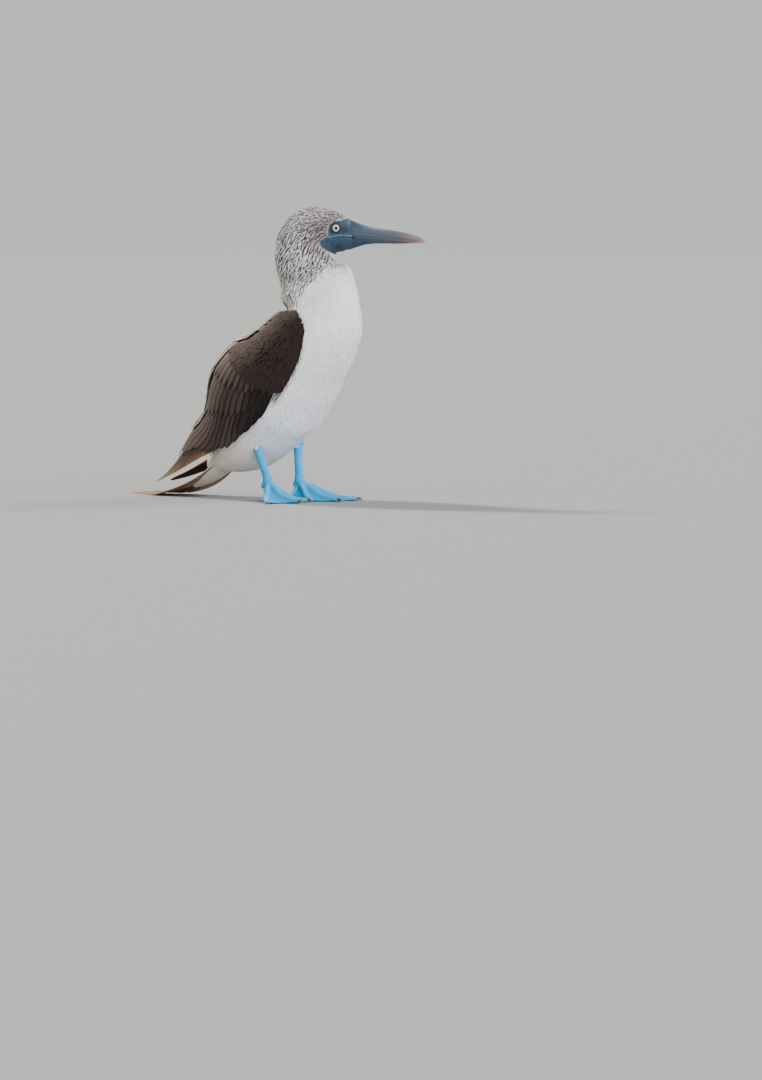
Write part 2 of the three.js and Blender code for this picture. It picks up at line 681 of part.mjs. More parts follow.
const tailRoot = sheet(
  6,
  4,
  (u, v) => onTail(lerp(0.03, 0.27, u), lerp(-19, 19, v), -2.6 - Math.pow(v * 2 - 1, 2) * 1),
  (u, v) => lerp(9, 6.2, u) * Math.pow(Math.sin(Math.PI * lerp(0.1, 0.9, v)), 0.4),
);
const tailFeathers = [];
for (let pair = 0; pair < TAIL_PAIRS; pair++) {
  for (const side of [1, -1]) tailFeathers.push(tailFeather(pair, side));
}
const tail = joined([tailRoot, ...tailFeathers]).subtract(clearOfFlesh).subtract(below);
add("tail", largest(tail), finish.tail);

// The origin is on the floor, under the middle of the bird's box.
const box = new THREE.Box3().setFromObject(parts);
const middle = box.getCenter(v3());
for (const mesh of parts.children) mesh.geometry.translate(-middle.x, -middle.y, -box.min.z);

export default parts;
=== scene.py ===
# A blue-footed booby, life size: skin, plumage, bill, eyes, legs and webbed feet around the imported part.
import math

import bmesh
import bpy
import numpy as np
from mathutils import Matrix, Vector
from mathutils.kdtree import KDTree


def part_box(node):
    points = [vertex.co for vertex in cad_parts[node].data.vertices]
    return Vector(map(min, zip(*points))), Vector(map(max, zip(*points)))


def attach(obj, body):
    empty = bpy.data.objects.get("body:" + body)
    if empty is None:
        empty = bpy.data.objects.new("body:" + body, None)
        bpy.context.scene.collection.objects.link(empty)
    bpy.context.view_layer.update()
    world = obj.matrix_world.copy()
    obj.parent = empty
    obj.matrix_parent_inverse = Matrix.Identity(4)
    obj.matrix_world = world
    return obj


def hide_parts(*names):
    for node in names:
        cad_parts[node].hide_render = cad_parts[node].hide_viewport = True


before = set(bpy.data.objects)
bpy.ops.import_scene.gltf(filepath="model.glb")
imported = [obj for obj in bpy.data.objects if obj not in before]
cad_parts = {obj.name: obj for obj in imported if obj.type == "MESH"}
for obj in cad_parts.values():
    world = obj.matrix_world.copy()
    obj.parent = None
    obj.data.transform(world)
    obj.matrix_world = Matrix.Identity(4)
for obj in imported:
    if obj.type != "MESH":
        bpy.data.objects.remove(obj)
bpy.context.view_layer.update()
print("frame loaded")

# Lengths below are millimetres in the bird's own frame: x the way its breast faces, y its left, z up.


def smoothCurve(knots):  # a centripetal Catmull-Rom line through the knots, read from 0 to 1
    knots = np.asarray(knots, float)
    padded = np.vstack([2 * knots[0] - knots[1], knots, 2 * knots[-1] - knots[-2]])

    def at(t):
        place = np.clip(np.asarray(t, float), 0, 1) * (len(knots) - 1)
        first = np.minimum(place.astype(int), len(knots) - 2)
        w = (place - first)[..., None]
        a, b, c, d = (padded[first + k] for k in range(4))
        gaps = [np.sqrt(np.linalg.norm(q - p, axis=-1, keepdims=True)) for p, q in ((a, b), (b, c), (c, d))]
        middle = np.where(gaps[1] < 1e-4, 1, gaps[1])
        before, after = (np.where(gap < 1e-4, middle, gap) for gap in (gaps[0], gaps[2]))
        leave = ((b - a) / before - (c - a) / (before + middle) + (c - b) / middle) * middle
        arrive = ((c - b) / middle - (d - b) / (middle + after) + (d - c) / after) * middle
        square, cube = 3 * (c - b) - 2 * leave - arrive, 2 * (b - c) + leave + arrive
        return b + leave * w + square * w**2 + cube * w**3

    return at


def smooth(value, low, high):
    s = np.clip((np.asarray(value, float) - low) / (high - low), 0, 1)
    return s * s * (3 - 2 * s)


def unit(v):
    return v / np.maximum(np.linalg.norm(v, axis=-1, keepdims=True), 1e-9)


def mix(a, b, w):
    return a + (b - a) * w


class Loft:  # rows: x, y, z, half depth, half width, pitch, turn to the left
    def __init__(self, rows):
        rows = np.array([list(row) + [0] * (7 - len(row)) for row in rows], float)
        self.centre, self.half, self.aim = (smoothCurve(rows[:, a:b]) for a, b in ((0, 3), (3, 5), (5, 7)))
        self.last = len(rows) - 1

    def point(self, t, around):  # around: degrees from the back over the left side
        t, a = np.broadcast_arrays(np.asarray(t, float), np.radians(around))
        half, aim = self.half(t), np.radians(self.aim(t))
        pitch, turn = aim[..., 0], aim[..., 1]
        up = np.stack([-np.sin(pitch) * np.cos(turn), -np.sin(pitch) * np.sin(turn), np.cos(pitch)], -1)
        left = np.stack([-np.sin(turn), np.cos(turn), 0 * turn], -1)
        deep, wide = half[..., 0] * np.cos(a), half[..., 1] * np.sin(a)
        return self.centre(t) + up * deep[..., None] + left * wide[..., None]

    def normal(self, t, around):
        t = np.asarray(t, float)
        along = self.point(np.minimum(t + 0.004, 1), around) - self.point(np.maximum(t - 0.004, 0), around)
        across = self.point(t, np.asarray(around) + 2) - self.point(t, np.asarray(around) - 2)
        return unit(np.cross(along, across))


# Flesh

headFrame = {"eyes": (68.4, 30.4, 362.5), "turn": 45, "eyeBack": -1, "eyeOut": 13.2, "eyeAhead": 16}
forward = np.array([math.cos(math.radians(headFrame["turn"])), math.sin(math.radians(headFrame["turn"])), 0])
leftward = np.array([-forward[1], forward[0], 0])
upward = np.array([0.0, 0, 1])


def inHead(ahead, up, left=0):  # a point from the middle between the eyes
    return np.array(headFrame["eyes"]) + forward * ahead + upward * up + leftward * left


def headPlace(points):  # ahead, up and left of the eyes
    rel = points - np.array(headFrame["eyes"])
    return rel @ forward, rel[..., 2], rel @ leftward


boxes = [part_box(name) for name in ("eye_right", "eye_left")]
eyeMiddle = np.mean([np.array(corner) * 1000 for pair in boxes for corner in pair], axis=0)
shift = eyeMiddle - inHead(headFrame["eyeBack"], 0)

bodyRows = [
    (-128, 0, 43, 8, 14, 30),
    (-118, 0, 49, 15, 22, 32),
    (-100, 0, 57, 27, 33, 35),
    (-72, 0, 71, 39, 47, 39),
    (-49, 0, 97, 53, 60, 43),
    (-32, 0, 122, 65, 68, 46),
    (-12.5, 0, 144.7, 71.5, 74, 49),
    (11.7, 0, 171.4, 68.5, 75, 55),
    (29.4, 0, 188.6, 63.5, 72, 61),
    (47.2, 0, 207.3, 61.5, 68, 68),
    (71, 0, 236.7, 55, 56.5, 82),
    (76, 1, 257, 49, 46.5, 97, 3),
    (64, 2, 280, 53, 42.5, 106, 12),
    (54, 6, 299, 48, 38.5, 106, 24),
]
headRows = [  # ahead, up, half depth, half width, pitch
    (-40.5, -44, 39.5, 31.5, 92),
    (-37, -20, 40.5, 28.5, 72),
    (-28.5, -8.3, 39.5, 26.5, 53),
    (-15.8, -2, 36.9, 24, 37),
    (-2, -2.3, 31, 20.5, 23),
    (9, -4.5, 25, 16.6, 11.5),
    (15.3, -6.4, 22.3, 14.2, 7),
    (20.5, -8.2, 19.5, 12.3, 4),
    (26, -9, 16, 10, 0),
]
headLoft = [(*inHead(a, u), deep, wide, pitch, headFrame["turn"]) for a, u, deep, wide, pitch in headRows]
flesh = Loft(bodyRows + headLoft)
headStart = 14.5  # the index above which the flesh is head
mouthKnots = np.array([(-7, -13.4), (6.5, -11.6), (21.7, -12.4), (37, -12.8), (52.3, -13.4), (67, -14.8),
                       (82.9, -16.4), (98, -18), (108, -18.7), (122, -18.9)])
mouthSamples = smoothCurve(mouthKnots)(np.linspace(0, 1, 400))
bareEdge = np.array([(18, 13), (9.5, 9.9), (-1.2, 8.7), (-6.5, 4.6), (-8.6, -2), (-8.4, -9.2), (-12.5, -12.6),
                     (-20.4, -17.8), (-17.6, -23.4), (-9, -29.5), (1.1, -35), (8, -40), (40, -40), (40, 13)])


def mouthHeight(ahead):
    return np.interp(ahead, mouthSamples[:, 0], mouthSamples[:, 1])


def bareDistance(ahead, up):  # millimetres inside (+) or outside (-) the edge of the bare face, in side view
    ahead, up = np.asarray(ahead, float), np.asarray(up, float)
    inside = np.zeros(ahead.shape, bool)
    nearest = np.full(ahead.shape, 1e9)
    for a, b in zip(bareEdge, np.roll(bareEdge, -1, 0)):
        crosses = (a[1] > up) != (b[1] > up)
        inside ^= crosses & (ahead < a[0] + (up - a[1]) / (b[1] - a[1] + 1e-9) * (b[0] - a[0]))
        along = b - a
        s = np.clip(((ahead - a[0]) * along[0] + (up - a[1]) * along[1]) / (along @ along), 0, 1)
        nearest = np.minimum(nearest, np.hypot(ahead - a[0] - s * along[0], up - a[1] - s * along[1]))
    return np.where(inside, nearest, -nearest)


# Colours and materials


def hexColour(code):  # an sRGB hex value as linear light
    parts = [int(code[i:i + 2], 16) / 255 for i in (1, 3, 5)]
    return np.array([c / 12.92 if c <= 0.04045 else ((c + 0.055) / 1.055) ** 2.4 for c in parts] + [1])


def addNode(tree, kind, inputs=None, out=0, stops=(), **settings):
    # a node with its settings, its links or values and, for a colour ramp, its stops; gives one output
    node = tree.nodes.new("ShaderNode" + kind)
    for name, value in settings.items():
        setattr(node, name, value)
    for socket, value in (inputs or {}).items():
        if isinstance(value, bpy.types.NodeSocket):
            tree.links.new(value, node.inputs[socket])
        else:
            node.inputs[socket].default_value = value
    while stops and len(node.color_ramp.elements) < len(stops):
        node.color_ramp.elements.new(0.5)
    for place, (position, colour) in enumerate(stops):
        node.color_ramp.elements[place].position = position
        node.color_ramp.elements[place].color = hexColour(colour) if isinstance(colour, str) else colour
    return node.outputs[out]


def grey(level):  # a neutral ramp colour in linear light
    return (level, level, level, 1)


def newMaterial(name, **sockets):  # a Principled material, its tree and the object's own coordinates
    material = bpy.data.materials.new(name)
    material.use_nodes = True
    tree = material.node_tree
    for socket, value in sockets.items():
        tree.nodes["Principled BSDF"].inputs[socket.replace("_", " ")].default_value = value
    return material, tree, addNode(tree, "TexCoord", out="Object")


def setSurface(tree, colour, height, strength, distance):  # colour and bump into the shader
    shader = tree.nodes["Principled BSDF"]
    bump = addNode(tree, "Bump", {"Height": height, "Strength": strength, "Distance": distance})
    tree.links.new(colour, shader.inputs["Base Color"])
    tree.links.new(bump, shader.inputs["Normal"])


def contourFeather():  # soft keratin barbs, white to brown, as matt as down
    material, tree, place = newMaterial("contourFeather", Roughness=0.85, IOR=1.5, Specular_IOR_Level=0.2)
    plumage = addNode(tree, "Attribute", out="Color", attribute_name="plumage")
    barbs = addNode(tree, "TexNoise", {"Vector": place, "Scale": 1 / 0.0009, "Detail": 1})
    clouds = addNode(tree, "TexNoise", {"Vector": place, "Scale": 1 / 0.011, "Detail": 2})
    shade = addNode(tree, "ValToRGB", {"Fac": barbs}, stops=[(0.3, (0.9, 0.9, 0.91, 1)), (0.62, grey(1))])
    soft = addNode(tree, "ValToRGB", {"Fac": clouds}, stops=[(0.35, (0.93, 0.935, 0.95, 1)), (0.65, grey(1))])
    fine = addNode(tree, "Mix", {0: 1.0, 6: plumage, 7: shade}, 2, data_type="RGBA", blend_type="MULTIPLY")
    colour = addNode(tree, "Mix", {0: 1.0, 6: fine, 7: soft}, 2, data_type="RGBA", blend_type="MULTIPLY")
    setSurface(tree, colour, barbs, 0.25, 0.0005)
    return material


def vanedFeather(name, rimStart, rimEnd, tipStart, tipSlope, streak):
    # stiff keratin vanes: a thin shaft, slanting barbs, sides darker by streak and a fringe of another colour
    material, tree, place = newMaterial(name, Roughness=0.6, IOR=1.5, Specular_IOR_Level=0.2)
    plumage = addNode(tree, "Attribute", out="Color", attribute_name="plumage")
    fringe = addNode(tree, "Attribute", out="Color", attribute_name="fringe")
    axes = addNode(tree, "SeparateXYZ", {0: addNode(tree, "UVMap", uv_map="vane")}).node
    along = axes.outputs[1]
    centred = addNode(tree, "Math", {0: axes.outputs[0], 1: 0.5}, operation="SUBTRACT")
    across = addNode(tree, "Math", {0: centred}, operation="ABSOLUTE")
    rise = addNode(tree, "Math", {0: along, 1: 95.0}, operation="MULTIPLY")  # fifteen barbs a vane
    fall = addNode(tree, "Math", {0: across, 1: 22.0}, operation="MULTIPLY")
    slant = addNode(tree, "Math", {0: rise, 1: fall}, operation="SUBTRACT")
    barbs = addNode(tree, "Math", {0: slant}, operation="SINE")
    grain = addNode(tree, "TexNoise", {"Vector": place, "Scale": 1 / 0.0035, "Detail": 2})
    uneven = addNode(tree, "Math", {0: grain, 1: 0.5}, operation="SUBTRACT")
    uneven = addNode(tree, "Math", {0: uneven, 1: 0.12}, operation="MULTIPLY")
    edge = addNode(tree, "Math", {0: across, 1: uneven}, operation="ADD")
    tip = addNode(tree, "Math", {0: along, 1: tipStart}, operation="SUBTRACT")
    tip = addNode(tree, "Math", {0: tip, 1: tipSlope}, operation="MULTIPLY")
    outer = addNode(tree, "Math", {0: edge, 1: tip}, operation="MAXIMUM")
    rim = addNode(tree, "ValToRGB", {"Fac": outer}, stops=[(rimStart, grey(0)), (rimEnd, grey(1))])
    shaft = [(0.02, (0.62, 0.6, 0.57, 1)), (0.05, grey(1)), (0.13, grey(1)), (0.3, grey(1 - streak))]
    tone = addNode(tree, "ValToRGB", {"Fac": edge}, stops=shaft)
    lines = addNode(tree, "ValToRGB", {"Fac": barbs}, stops=[(0.0, grey(0.75)), (1.0, grey(1))])
    vane = addNode(tree, "Mix", {0: 1.0, 6: plumage, 7: tone}, 2, data_type="RGBA", blend_type="MULTIPLY")
    vane = addNode(tree, "Mix", {0: 0.35, 6: vane, 7: lines}, 2, data_type="RGBA", blend_type="MULTIPLY")
    vane = addNode(tree, "Mix", {0: rim, 6: vane, 7: fringe}, 2, data_type="RGBA", blend_type="MIX")
    shallow = addNode(tree, "Math", {0: barbs, 1: 0.25}, operation="MULTIPLY")
    rib = addNode(tree, "Math", {0: across, 1: 0.018}, operation="LESS_THAN")
    ridge = addNode(tree, "Math", {0: shallow, 1: rib}, operation="ADD")
    setSurface(tree, vane, ridge, 0.4, 0.0004)
    return material


def livingSkin():  # under the plumage as its feathers are; bare and finely granular on the face
    material, tree, place = newMaterial("livingSkin", Roughness=0.6, IOR=1.45, Specular_IOR_Level=0.3)
    plumage = addNode(tree, "Attribute", out="Color", attribute_name="plumage")
    bare = addNode(tree, "Attribute", out="Fac", attribute_name="bare")
    grains = addNode(tree, "TexVoronoi", {"Vector": place, "Scale": 1 / 0.0011}, "Distance")
    blotch = addNode(tree, "TexNoise", {"Vector": place, "Scale": 1 / 0.006, "Detail": 3})
    patches = [(0.3, (0.74, 0.77, 0.8, 1)), (0.7, (1.12, 1.1, 1.07, 1))]
    shade = addNode(tree, "ValToRGB", {"Fac": blotch}, stops=patches)
    colour = addNode(tree, "Mix", {0: bare, 6: plumage, 7: shade}, 2, data_type="RGBA", blend_type="MULTIPLY")
    height = addNode(tree, "Math", {0: grains, 1: bare}, operation="MULTIPLY")
    setSurface(tree, colour, height, 0.55, 0.0005)
    return material


def billHorn():  # a horny sheath, blue-grey and paler on the ridge, partly its own colour and partly painted highlight, finely clouded, with a soft gloss
    material, tree, place = newMaterial("billHorn", Roughness=0.5, IOR=1.54, Specular_IOR_Level=0.25)
    horn = addNode(tree, "Attribute", out="Color", attribute_name="plumage")
    grain = addNode(tree, "TexNoise", {"Vector": place, "Scale": 1 / 0.004, "Detail": 4})
    clouds = [(0.32, (0.84, 0.84, 0.86, 1)), (0.68, (1.05, 1.05, 1.04, 1))]
    shade = addNode(tree, "ValToRGB", {"Fac": grain}, stops=clouds)
    colour = addNode(tree, "Mix", {0: 1.0, 6: horn, 7: shade}, 2, data_type="RGBA", blend_type="MULTIPLY")
    setSurface(tree, colour, grain, 0.25, 0.0004)
    return material


def wetEye():  # a clear cornea over a pale iris and a small pupil
    material, tree, place = newMaterial("wetEye", Roughness=0.3, IOR=1.38, Specular_IOR_Level=0.2,
                                        Coat_Weight=0.15, Coat_Roughness=0.02)
    gaze = addNode(tree, "Attribute", out="Fac", attribute_name="gaze")  # degrees off the axis / 90
    rays = addNode(tree, "TexNoise", {"Vector": place, "Scale": 1 / 0.0009, "Detail": 2})
    uneven = addNode(tree, "Math", {0: rays, 1: 0.5}, operation="SUBTRACT")
    uneven = addNode(tree, "Math", {0: uneven, 1: 0.03}, operation="MULTIPLY")
    wavy = addNode(tree, "Math", {0: gaze, 1: uneven}, operation="ADD")
    rings = [(0.0, "#010101"), (0.19, "#020202"), (0.21, "#8f8a5a"), (0.27, "#e4dfae"),
             (0.4, "#d9d6a8"), (0.445, "#6f6c58"), (0.47, "#1c2227"), (1.0, "#1c2227")]
    colour = addNode(tree, "ValToRGB", {"Fac": wavy}, stops=rings)
    tree.links.new(colour, tree.nodes["Principled BSDF"].inputs["Base Color"])
    return material


def legSkin():  # scaly leather of the legs and toes: bright blue, paler between the small plates
    material, tree, place = newMaterial("legSkin", Roughness=0.5, IOR=1.45, Specular_IOR_Level=0.2,
                                        Subsurface_Weight=0.05)
    blue = addNode(tree, "Attribute", out="Color", attribute_name="plumage")
    plates = addNode(tree, "Attribute", out="Fac", attribute_name="plates")
    cells = addNode(tree, "TexVoronoi", {"Vector": place, "Scale": 1 / 0.0021}, "Distance",
                    feature="DISTANCE_TO_EDGE")
    seams = addNode(tree, "ValToRGB", {"Fac": cells}, stops=[(0.0, (0.62, 0.7, 0.74, 1)), (0.12, grey(1))])
    blotch = addNode(tree, "TexNoise", {"Vector": place, "Scale": 1 / 0.012, "Detail": 3})
    tones = [(0.3, (0.82, 0.88, 0.92, 1)), (0.7, (1.1, 1.06, 1.03, 1))]
    patches = addNode(tree, "ValToRGB", {"Fac": blotch}, stops=tones)
    colour = addNode(tree, "Mix", {0: 1.0, 6: blue, 7: patches}, 2, data_type="RGBA", blend_type="MULTIPLY")
    colour = addNode(tree, "Mix", {0: 0.7, 6: colour, 7: seams}, 2, data_type="RGBA", blend_type="MULTIPLY")
    scale = addNode(tree, "ValToRGB", {"Fac": cells}, stops=[(0.0, grey(0)), (0.2, grey(1))])
    turns = addNode(tree, "Math", {0: plates, 1: math.pi}, operation="MULTIPLY")
    waves = addNode(tree, "Math", {0: turns}, operation="SINE")
    bands = addNode(tree, "Math", {0: waves}, operation="ABSOLUTE")
    low = addNode(tree, "Math", {0: scale, 1: 0.5}, operation="MULTIPLY")
    height = addNode(tree, "Math", {0: low, 1: bands}, operation="ADD")
    setSurface(tree, colour, height, 0.6, 0.0005)
    return material


def clawHorn():  # blunt horn nails, mottled brown with a dull gloss
    material, tree, place = newMaterial("clawHorn", Roughness=0.4, IOR=1.54)
    grain = addNode(tree, "TexNoise", {"Vector": place, "Scale": 1 / 0.002, "Detail": 3})
    colour = addNode(tree, "ValToRGB", {"Fac": grain}, stops=[(0.3, "#3e332d"), (0.7, "#7d6f63")])
    setSurface(tree, colour, grain, 0.3, 0.0003)
    return material


finishes = {
    "contour": contourFeather(),
    "flight": vanedFeather("flightFeather", 0.4, 0.48, 0.98, 5.5, 0.62),
    "mantle": vanedFeather("mantleFeather", 0.33, 0.41, 0.78, 1.9, 0.1),
    "skin": livingSkin(),
    "bill": billHorn(),
    "eye": wetEye(),
    "leg": legSkin(),
    "claw": clawHorn(),
}
print("materials made")

# Meshes

plumageFinishes = ("contour", "flight", "mantle")


def newPiece(name, points, faces, finish, replaces=()):  # points in millimetres of the bird's frame
    mesh = bpy.data.meshes.new(name)
    mesh.from_pydata((np.asarray(points) + shift) / 1000, [], faces)
    mesh.materials.append(finishes[finish])
    mesh.shade_smooth()
    if finish in plumageFinishes:
        mesh.set_sharp_from_angle(angle=math.radians(52))
    piece = bpy.data.objects.new(name, mesh)
    bpy.context.scene.collection.objects.link(piece)
    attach(piece, "root")
    if replaces:
        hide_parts(*replaces)
    return piece


def paint(piece, name, values):  # one colour or one number for each vertex
    values = np.asarray(values, float)
    if values.ndim == 1:
        layer = piece.data.attributes.new(name, "FLOAT", "POINT")
        layer.data.foreach_set("value", values.astype(np.float32))
    else:
        layer = piece.data.color_attributes.new(name, "FLOAT_COLOR", "POINT")
        full = np.ones((len(values), 4), np.float32)
        full[:, :3] = values[:, :3]
        layer.data.foreach_set("color", full.ravel())


def layUv(piece, name, perVertex):
    loops = np.zeros(len(piece.data.loops), np.int32)
    piece.data.loops.foreach_get("vertex_index", loops)
    layer = piece.data.uv_layers.new(name=name)
    layer.data.foreach_set("uv", perVertex[loops].astype(np.float32).ravel())


def meshOf(bm):  # its points and its faces
    bm.verts.index_update()
    points = np.array([v.co for v in bm.verts])
    faces = [[v.index for v in face.verts] for face in bm.faces]
    bm.free()
    return points, faces


def ballGrid(rings, sides):  # a sphere's points as a share of the way from pole to pole and an angle
    bm = bmesh.new()
    bmesh.ops.create_uvsphere(bm, u_segments=sides, v_segments=rings, radius=1)
    bmesh.ops.recalc_face_normals(bm, faces=bm.faces)
    points, faces = meshOf(bm)
    share = np.arccos(np.clip(-points[:, 2], -1, 1)) / math.pi
    around = np.degrees(np.arctan2(points[:, 1], points[:, 0]))
    return share, around, np.hypot(points[:, 0], points[:, 1]) < 1e-5, faces


def vaneShape(rows, columns):  # a flat closed sheet; each point's row, place across and face
    bm = bmesh.new()
    bmesh.ops.create_grid(bm, x_segments=columns, y_segments=rows - 1, size=1)
    faces = bmesh.ops.extrude_face_region(bm, geom=bm.faces[:])["geom"]
    for item in faces:
        if isinstance(item, bmesh.types.BMVert):
            item.co.z = -1
    bmesh.ops.recalc_face_normals(bm, faces=bm.faces)
    bmesh.ops.triangulate(bm, faces=bm.faces)
    points, faces = meshOf(bm)
    row = np.rint((points[:, 1] + 1) / 2 * (rows - 1)).astype(int)
    return {"row": row, "x": points[:, 0], "z": points[:, 2] + 0.5, "faces": np.array(faces)}


def tuftShape():  # a three-sided pointed tuft, flat below and ridged above, with one ring halfway along
    bm = bmesh.new()
    bmesh.ops.create_cone(bm, cap_ends=True, segments=3, radius1=1, radius2=0, depth=1)
    bmesh.ops.remove_doubles(bm, verts=bm.verts, dist=1e-4)
    long = [e for e in bm.edges if abs(e.verts[0].co.z - e.verts[1].co.z) > 0.5]
    bmesh.ops.subdivide_edges(bm, edges=long, cuts=1)
    bmesh.ops.recalc_face_normals(bm, faces=bm.faces)
    bmesh.ops.triangulate(bm, faces=bm.faces)
    points, faces = meshOf(bm)
    row = np.rint((points[:, 2] + 0.5) * 2).astype(int)
    size = np.where(row == 2, 1, 1 - row / 2)
    return {"row": row, "x": points[:, 0] / size, "z": points[:, 1] / size, "faces": np.array(faces)}


def growVanes(name, shape, centre, normal, half, thick, finish, colours, places, camber=0.0, tilt=0.0,
              patch=0.003, edge=None, replaces=()):
    # centre and normal: vane, row, xyz; half and thick: vane, row; colours: root and tip of each vane
    count, rows = centre.shape[:2]
    along = unit(np.gradient(centre, axis=1))
    across = unit(np.cross(normal, along))
    row, x, z = shape["row"], shape["x"], shape["z"]
    offset = half[:, row] * x
    rise = thick[:, row] * z + camber * half[:, row] * (1 - x**2) - tilt * x * half[:, row]
    points = centre[:, row] + across[:, row] * offset[..., None] + normal[:, row] * rise[..., None]
    faces = (shape["faces"][None] + (np.arange(count) * len(row))[:, None, None]).reshape(-1, 3)
    piece = newPiece(name, points.reshape(-1, 3), faces, finish, replaces)
    share = (row / (rows - 1))[None, :, None]
    rootColour, tipColour = colours
    paint(piece, "plumage", mix(rootColour[:, None, :3], tipColour[:, None, :3], share**1.5).reshape(-1, 3))
    if edge is not None:
        paint(piece, "fringe", np.repeat(edge[:, None, :3], len(row), 1).reshape(-1, 3))
    flat = np.stack([np.broadcast_to(part, (count, len(row))) for part in (x / 2 + 0.5, share[..., 0])], -1)
    if finish != "contour":
        layUv(piece, "vane", flat.reshape(-1, 2))
    layUv(piece, "OFBake", (np.clip(places[:, None], 0.003, 0.994) + (flat - 0.5) * patch).reshape(-1, 2))
    piece.data.uv_layers["OFBake"].active_render = True
    print(name, len(faces), "triangles")


alongStep, aroundStep = 0.002, 1  # how far either way a loft's slopes are measured


def lieOn(loft, t, around, length, rows, lift, swing):
    # lines that run over the loft from their roots towards its first row, swung to the left by degrees;
    # lift is a height for each point or a function of index, angle and share of the line
    along = loft.point(t + alongStep, around) - loft.point(t - alongStep, around)
    aside = loft.point(t, around + aroundStep) - loft.point(t, around - aroundStep)
    stretch = np.linalg.norm(along, axis=-1) / (2 * alongStep)
    girth = np.linalg.norm(aside, axis=-1) / (2 * aroundStep)
    swing = np.radians(swing)
    slope = np.einsum("ij,ij->i", unit(along), unit(aside))
    stepT = -np.cos(swing) / stretch
    stepA = (np.sin(swing) + np.cos(swing) * slope) / girth
    share = np.linspace(0, 1, rows)[None]
    ts = np.clip(t[:, None] + (stepT * length)[:, None] * share, 0, 1)
    angles = around[:, None] + np.clip((stepA * length)[:, None] * share, -40, 40)
    normal = loft.normal(ts, angles)
    if callable(lift):
        lift = lift(ts * loft.last, angles, share)
    return loft.point(ts, angles) + normal * lift[..., None], normal


def spread(loft, spacing, keep, low, high, seed, start=-180, end=180, tries=160000):
    # roots over a stretch of the loft, at least spacing(index, angle) apart where keep(index, angle) is true
    draw = np.random.default_rng(seed)
    tries = tries
    tries = draw.uniform((low, start), (high, end), (tries, 2))
    t, angle = tries[:, 0] / loft.last, tries[:, 1]
    along = loft.point(t + alongStep, angle) - loft.point(t - alongStep, angle)
    aside = loft.point(t, angle + aroundStep) - loft.point(t, angle - aroundStep)
    weight = np.linalg.norm(along, axis=-1) * np.linalg.norm(aside, axis=-1)
    wanted = draw.uniform(0, 1, len(t)) < weight / np.percentile(weight, 98)
    wanted &= keep(tries[:, 0], angle)
    tries, points = tries[wanted], loft.point(t[wanted], angle[wanted])
    gap = spacing(tries[:, 0], tries[:, 1]) * 1
    cell = gap.max()
    taken, chosen = {}, []
    keys = np.floor(points / cell).astype(int)
    for i, (key, point) in enumerate(zip(map(tuple, keys), points)):
        x, y, z = key
        near = [j for a in (x - 1, x, x + 1) for b in (y - 1, y, y + 1) for c in (z - 1, z, z + 1)
                for j in taken.get((a, b, c), ())]
        if near and ((points[near] - point) ** 2).sum(1).min() < gap[i] ** 2:
            continue
        taken.setdefault(key, []).append(i)
        chosen.append(i)
    return tries[chosen, 0], tries[chosen, 1]


def limb(line, radius, rings, sides, flatten=1.0):  # a round limb along a curve
    share, around, poles, faces = ballGrid(rings, sides)
    chord = line(1.0) - line(0.0)
    steep = abs(chord[2]) > np.hypot(chord[0], chord[1])
    across = np.array([0.0, 1, 0]) if steep else unit(np.array([-chord[1], chord[0], 0]))
    along = unit(line(np.minimum(share + 0.01, 1)) - line(np.maximum(share - 0.01, 0)))
    side = unit(across - along * (along @ across)[:, None])
    up = np.cross(along, side)
    r = np.where(poles, 0, radius(share))[:, None]
    a = np.radians(around)[:, None]
    return line(share) + side * r * np.cos(a) + up * r * flatten * np.sin(a), faces, share


def joinParts(parts):  # several shapes as one list of points and faces
    points, faces, start = [], [], 0
    for shape in parts:
        points.append(shape[0])
        faces += [[i + start for i in face] for face in shape[1]]
        start += len(shape[0])
    return np.vstack(points), faces


# Markings, with painted shade and light: what colour the plumage has at an index and an angle of the flesh

# paintedShadeWhite is the grey of painted shade at the feathers' roots
white, cream, paintedShadeWhite = (hexColour(c) for c in ("#fbfafa", "#f4e7d3", "#e9e9ec"))
paleHead, paleNeck, beige, taupe = (hexColour(c) for c in ("#f7f2ee", "#f6f3f0", "#a69a93", "#b3a7a0"))
# sideHeadGreyAndShade: the grey of the head's sides, which also stands for painted shade there
sideHeadGreyAndShade = hexColour("#5f5853")
# crownStreakPaleAndLit: the crown's softer streaks, paler partly as painted rim light
streakDark, streakBrown, crownStreakPaleAndLit = (hexColour(c) for c in ("#120e0d", "#241b18", "#574a43"))
wingDark, wingBrown, wingPale, tan = (hexColour(c) for c in ("#1a1210", "#33241f", "#685650", "#c19a72"))
# loreAndShadowBlue: the lores' own dark blue, also used for painted shadow under and along the mouth
faceBlue, loreAndShadowBlue, ringBlue, gapeBlue = (hexColour(c) for c in ("#28404f", "#16242f", "#15283d", "#6c818e"))
billBase = hexColour("#2f4453")


def faceToBill(ahead):  # the bare face pales towards the bill without a seam
    return mix(faceBlue[:3], billBase[:3], smooth(ahead, 2, 28)[:, None])


def streaked(index, angle):  # how much of the plumage is dark streaks
    a = np.abs(angle)
    inner = np.interp(index, (10.5, 11.5, 12.3, 13, 13.8, 14.8, 15.6), (58, 62, 72, 86, 104, 128, 140))
    outer = inner + np.interp(index, (10.5, 12.3, 13, 14.8, 16), (22, 32, 38, 42, 24))
    return (1 - smooth((a - inner) / (outer - inner), 0, 1)) * smooth(index, 10.3, 11.3)


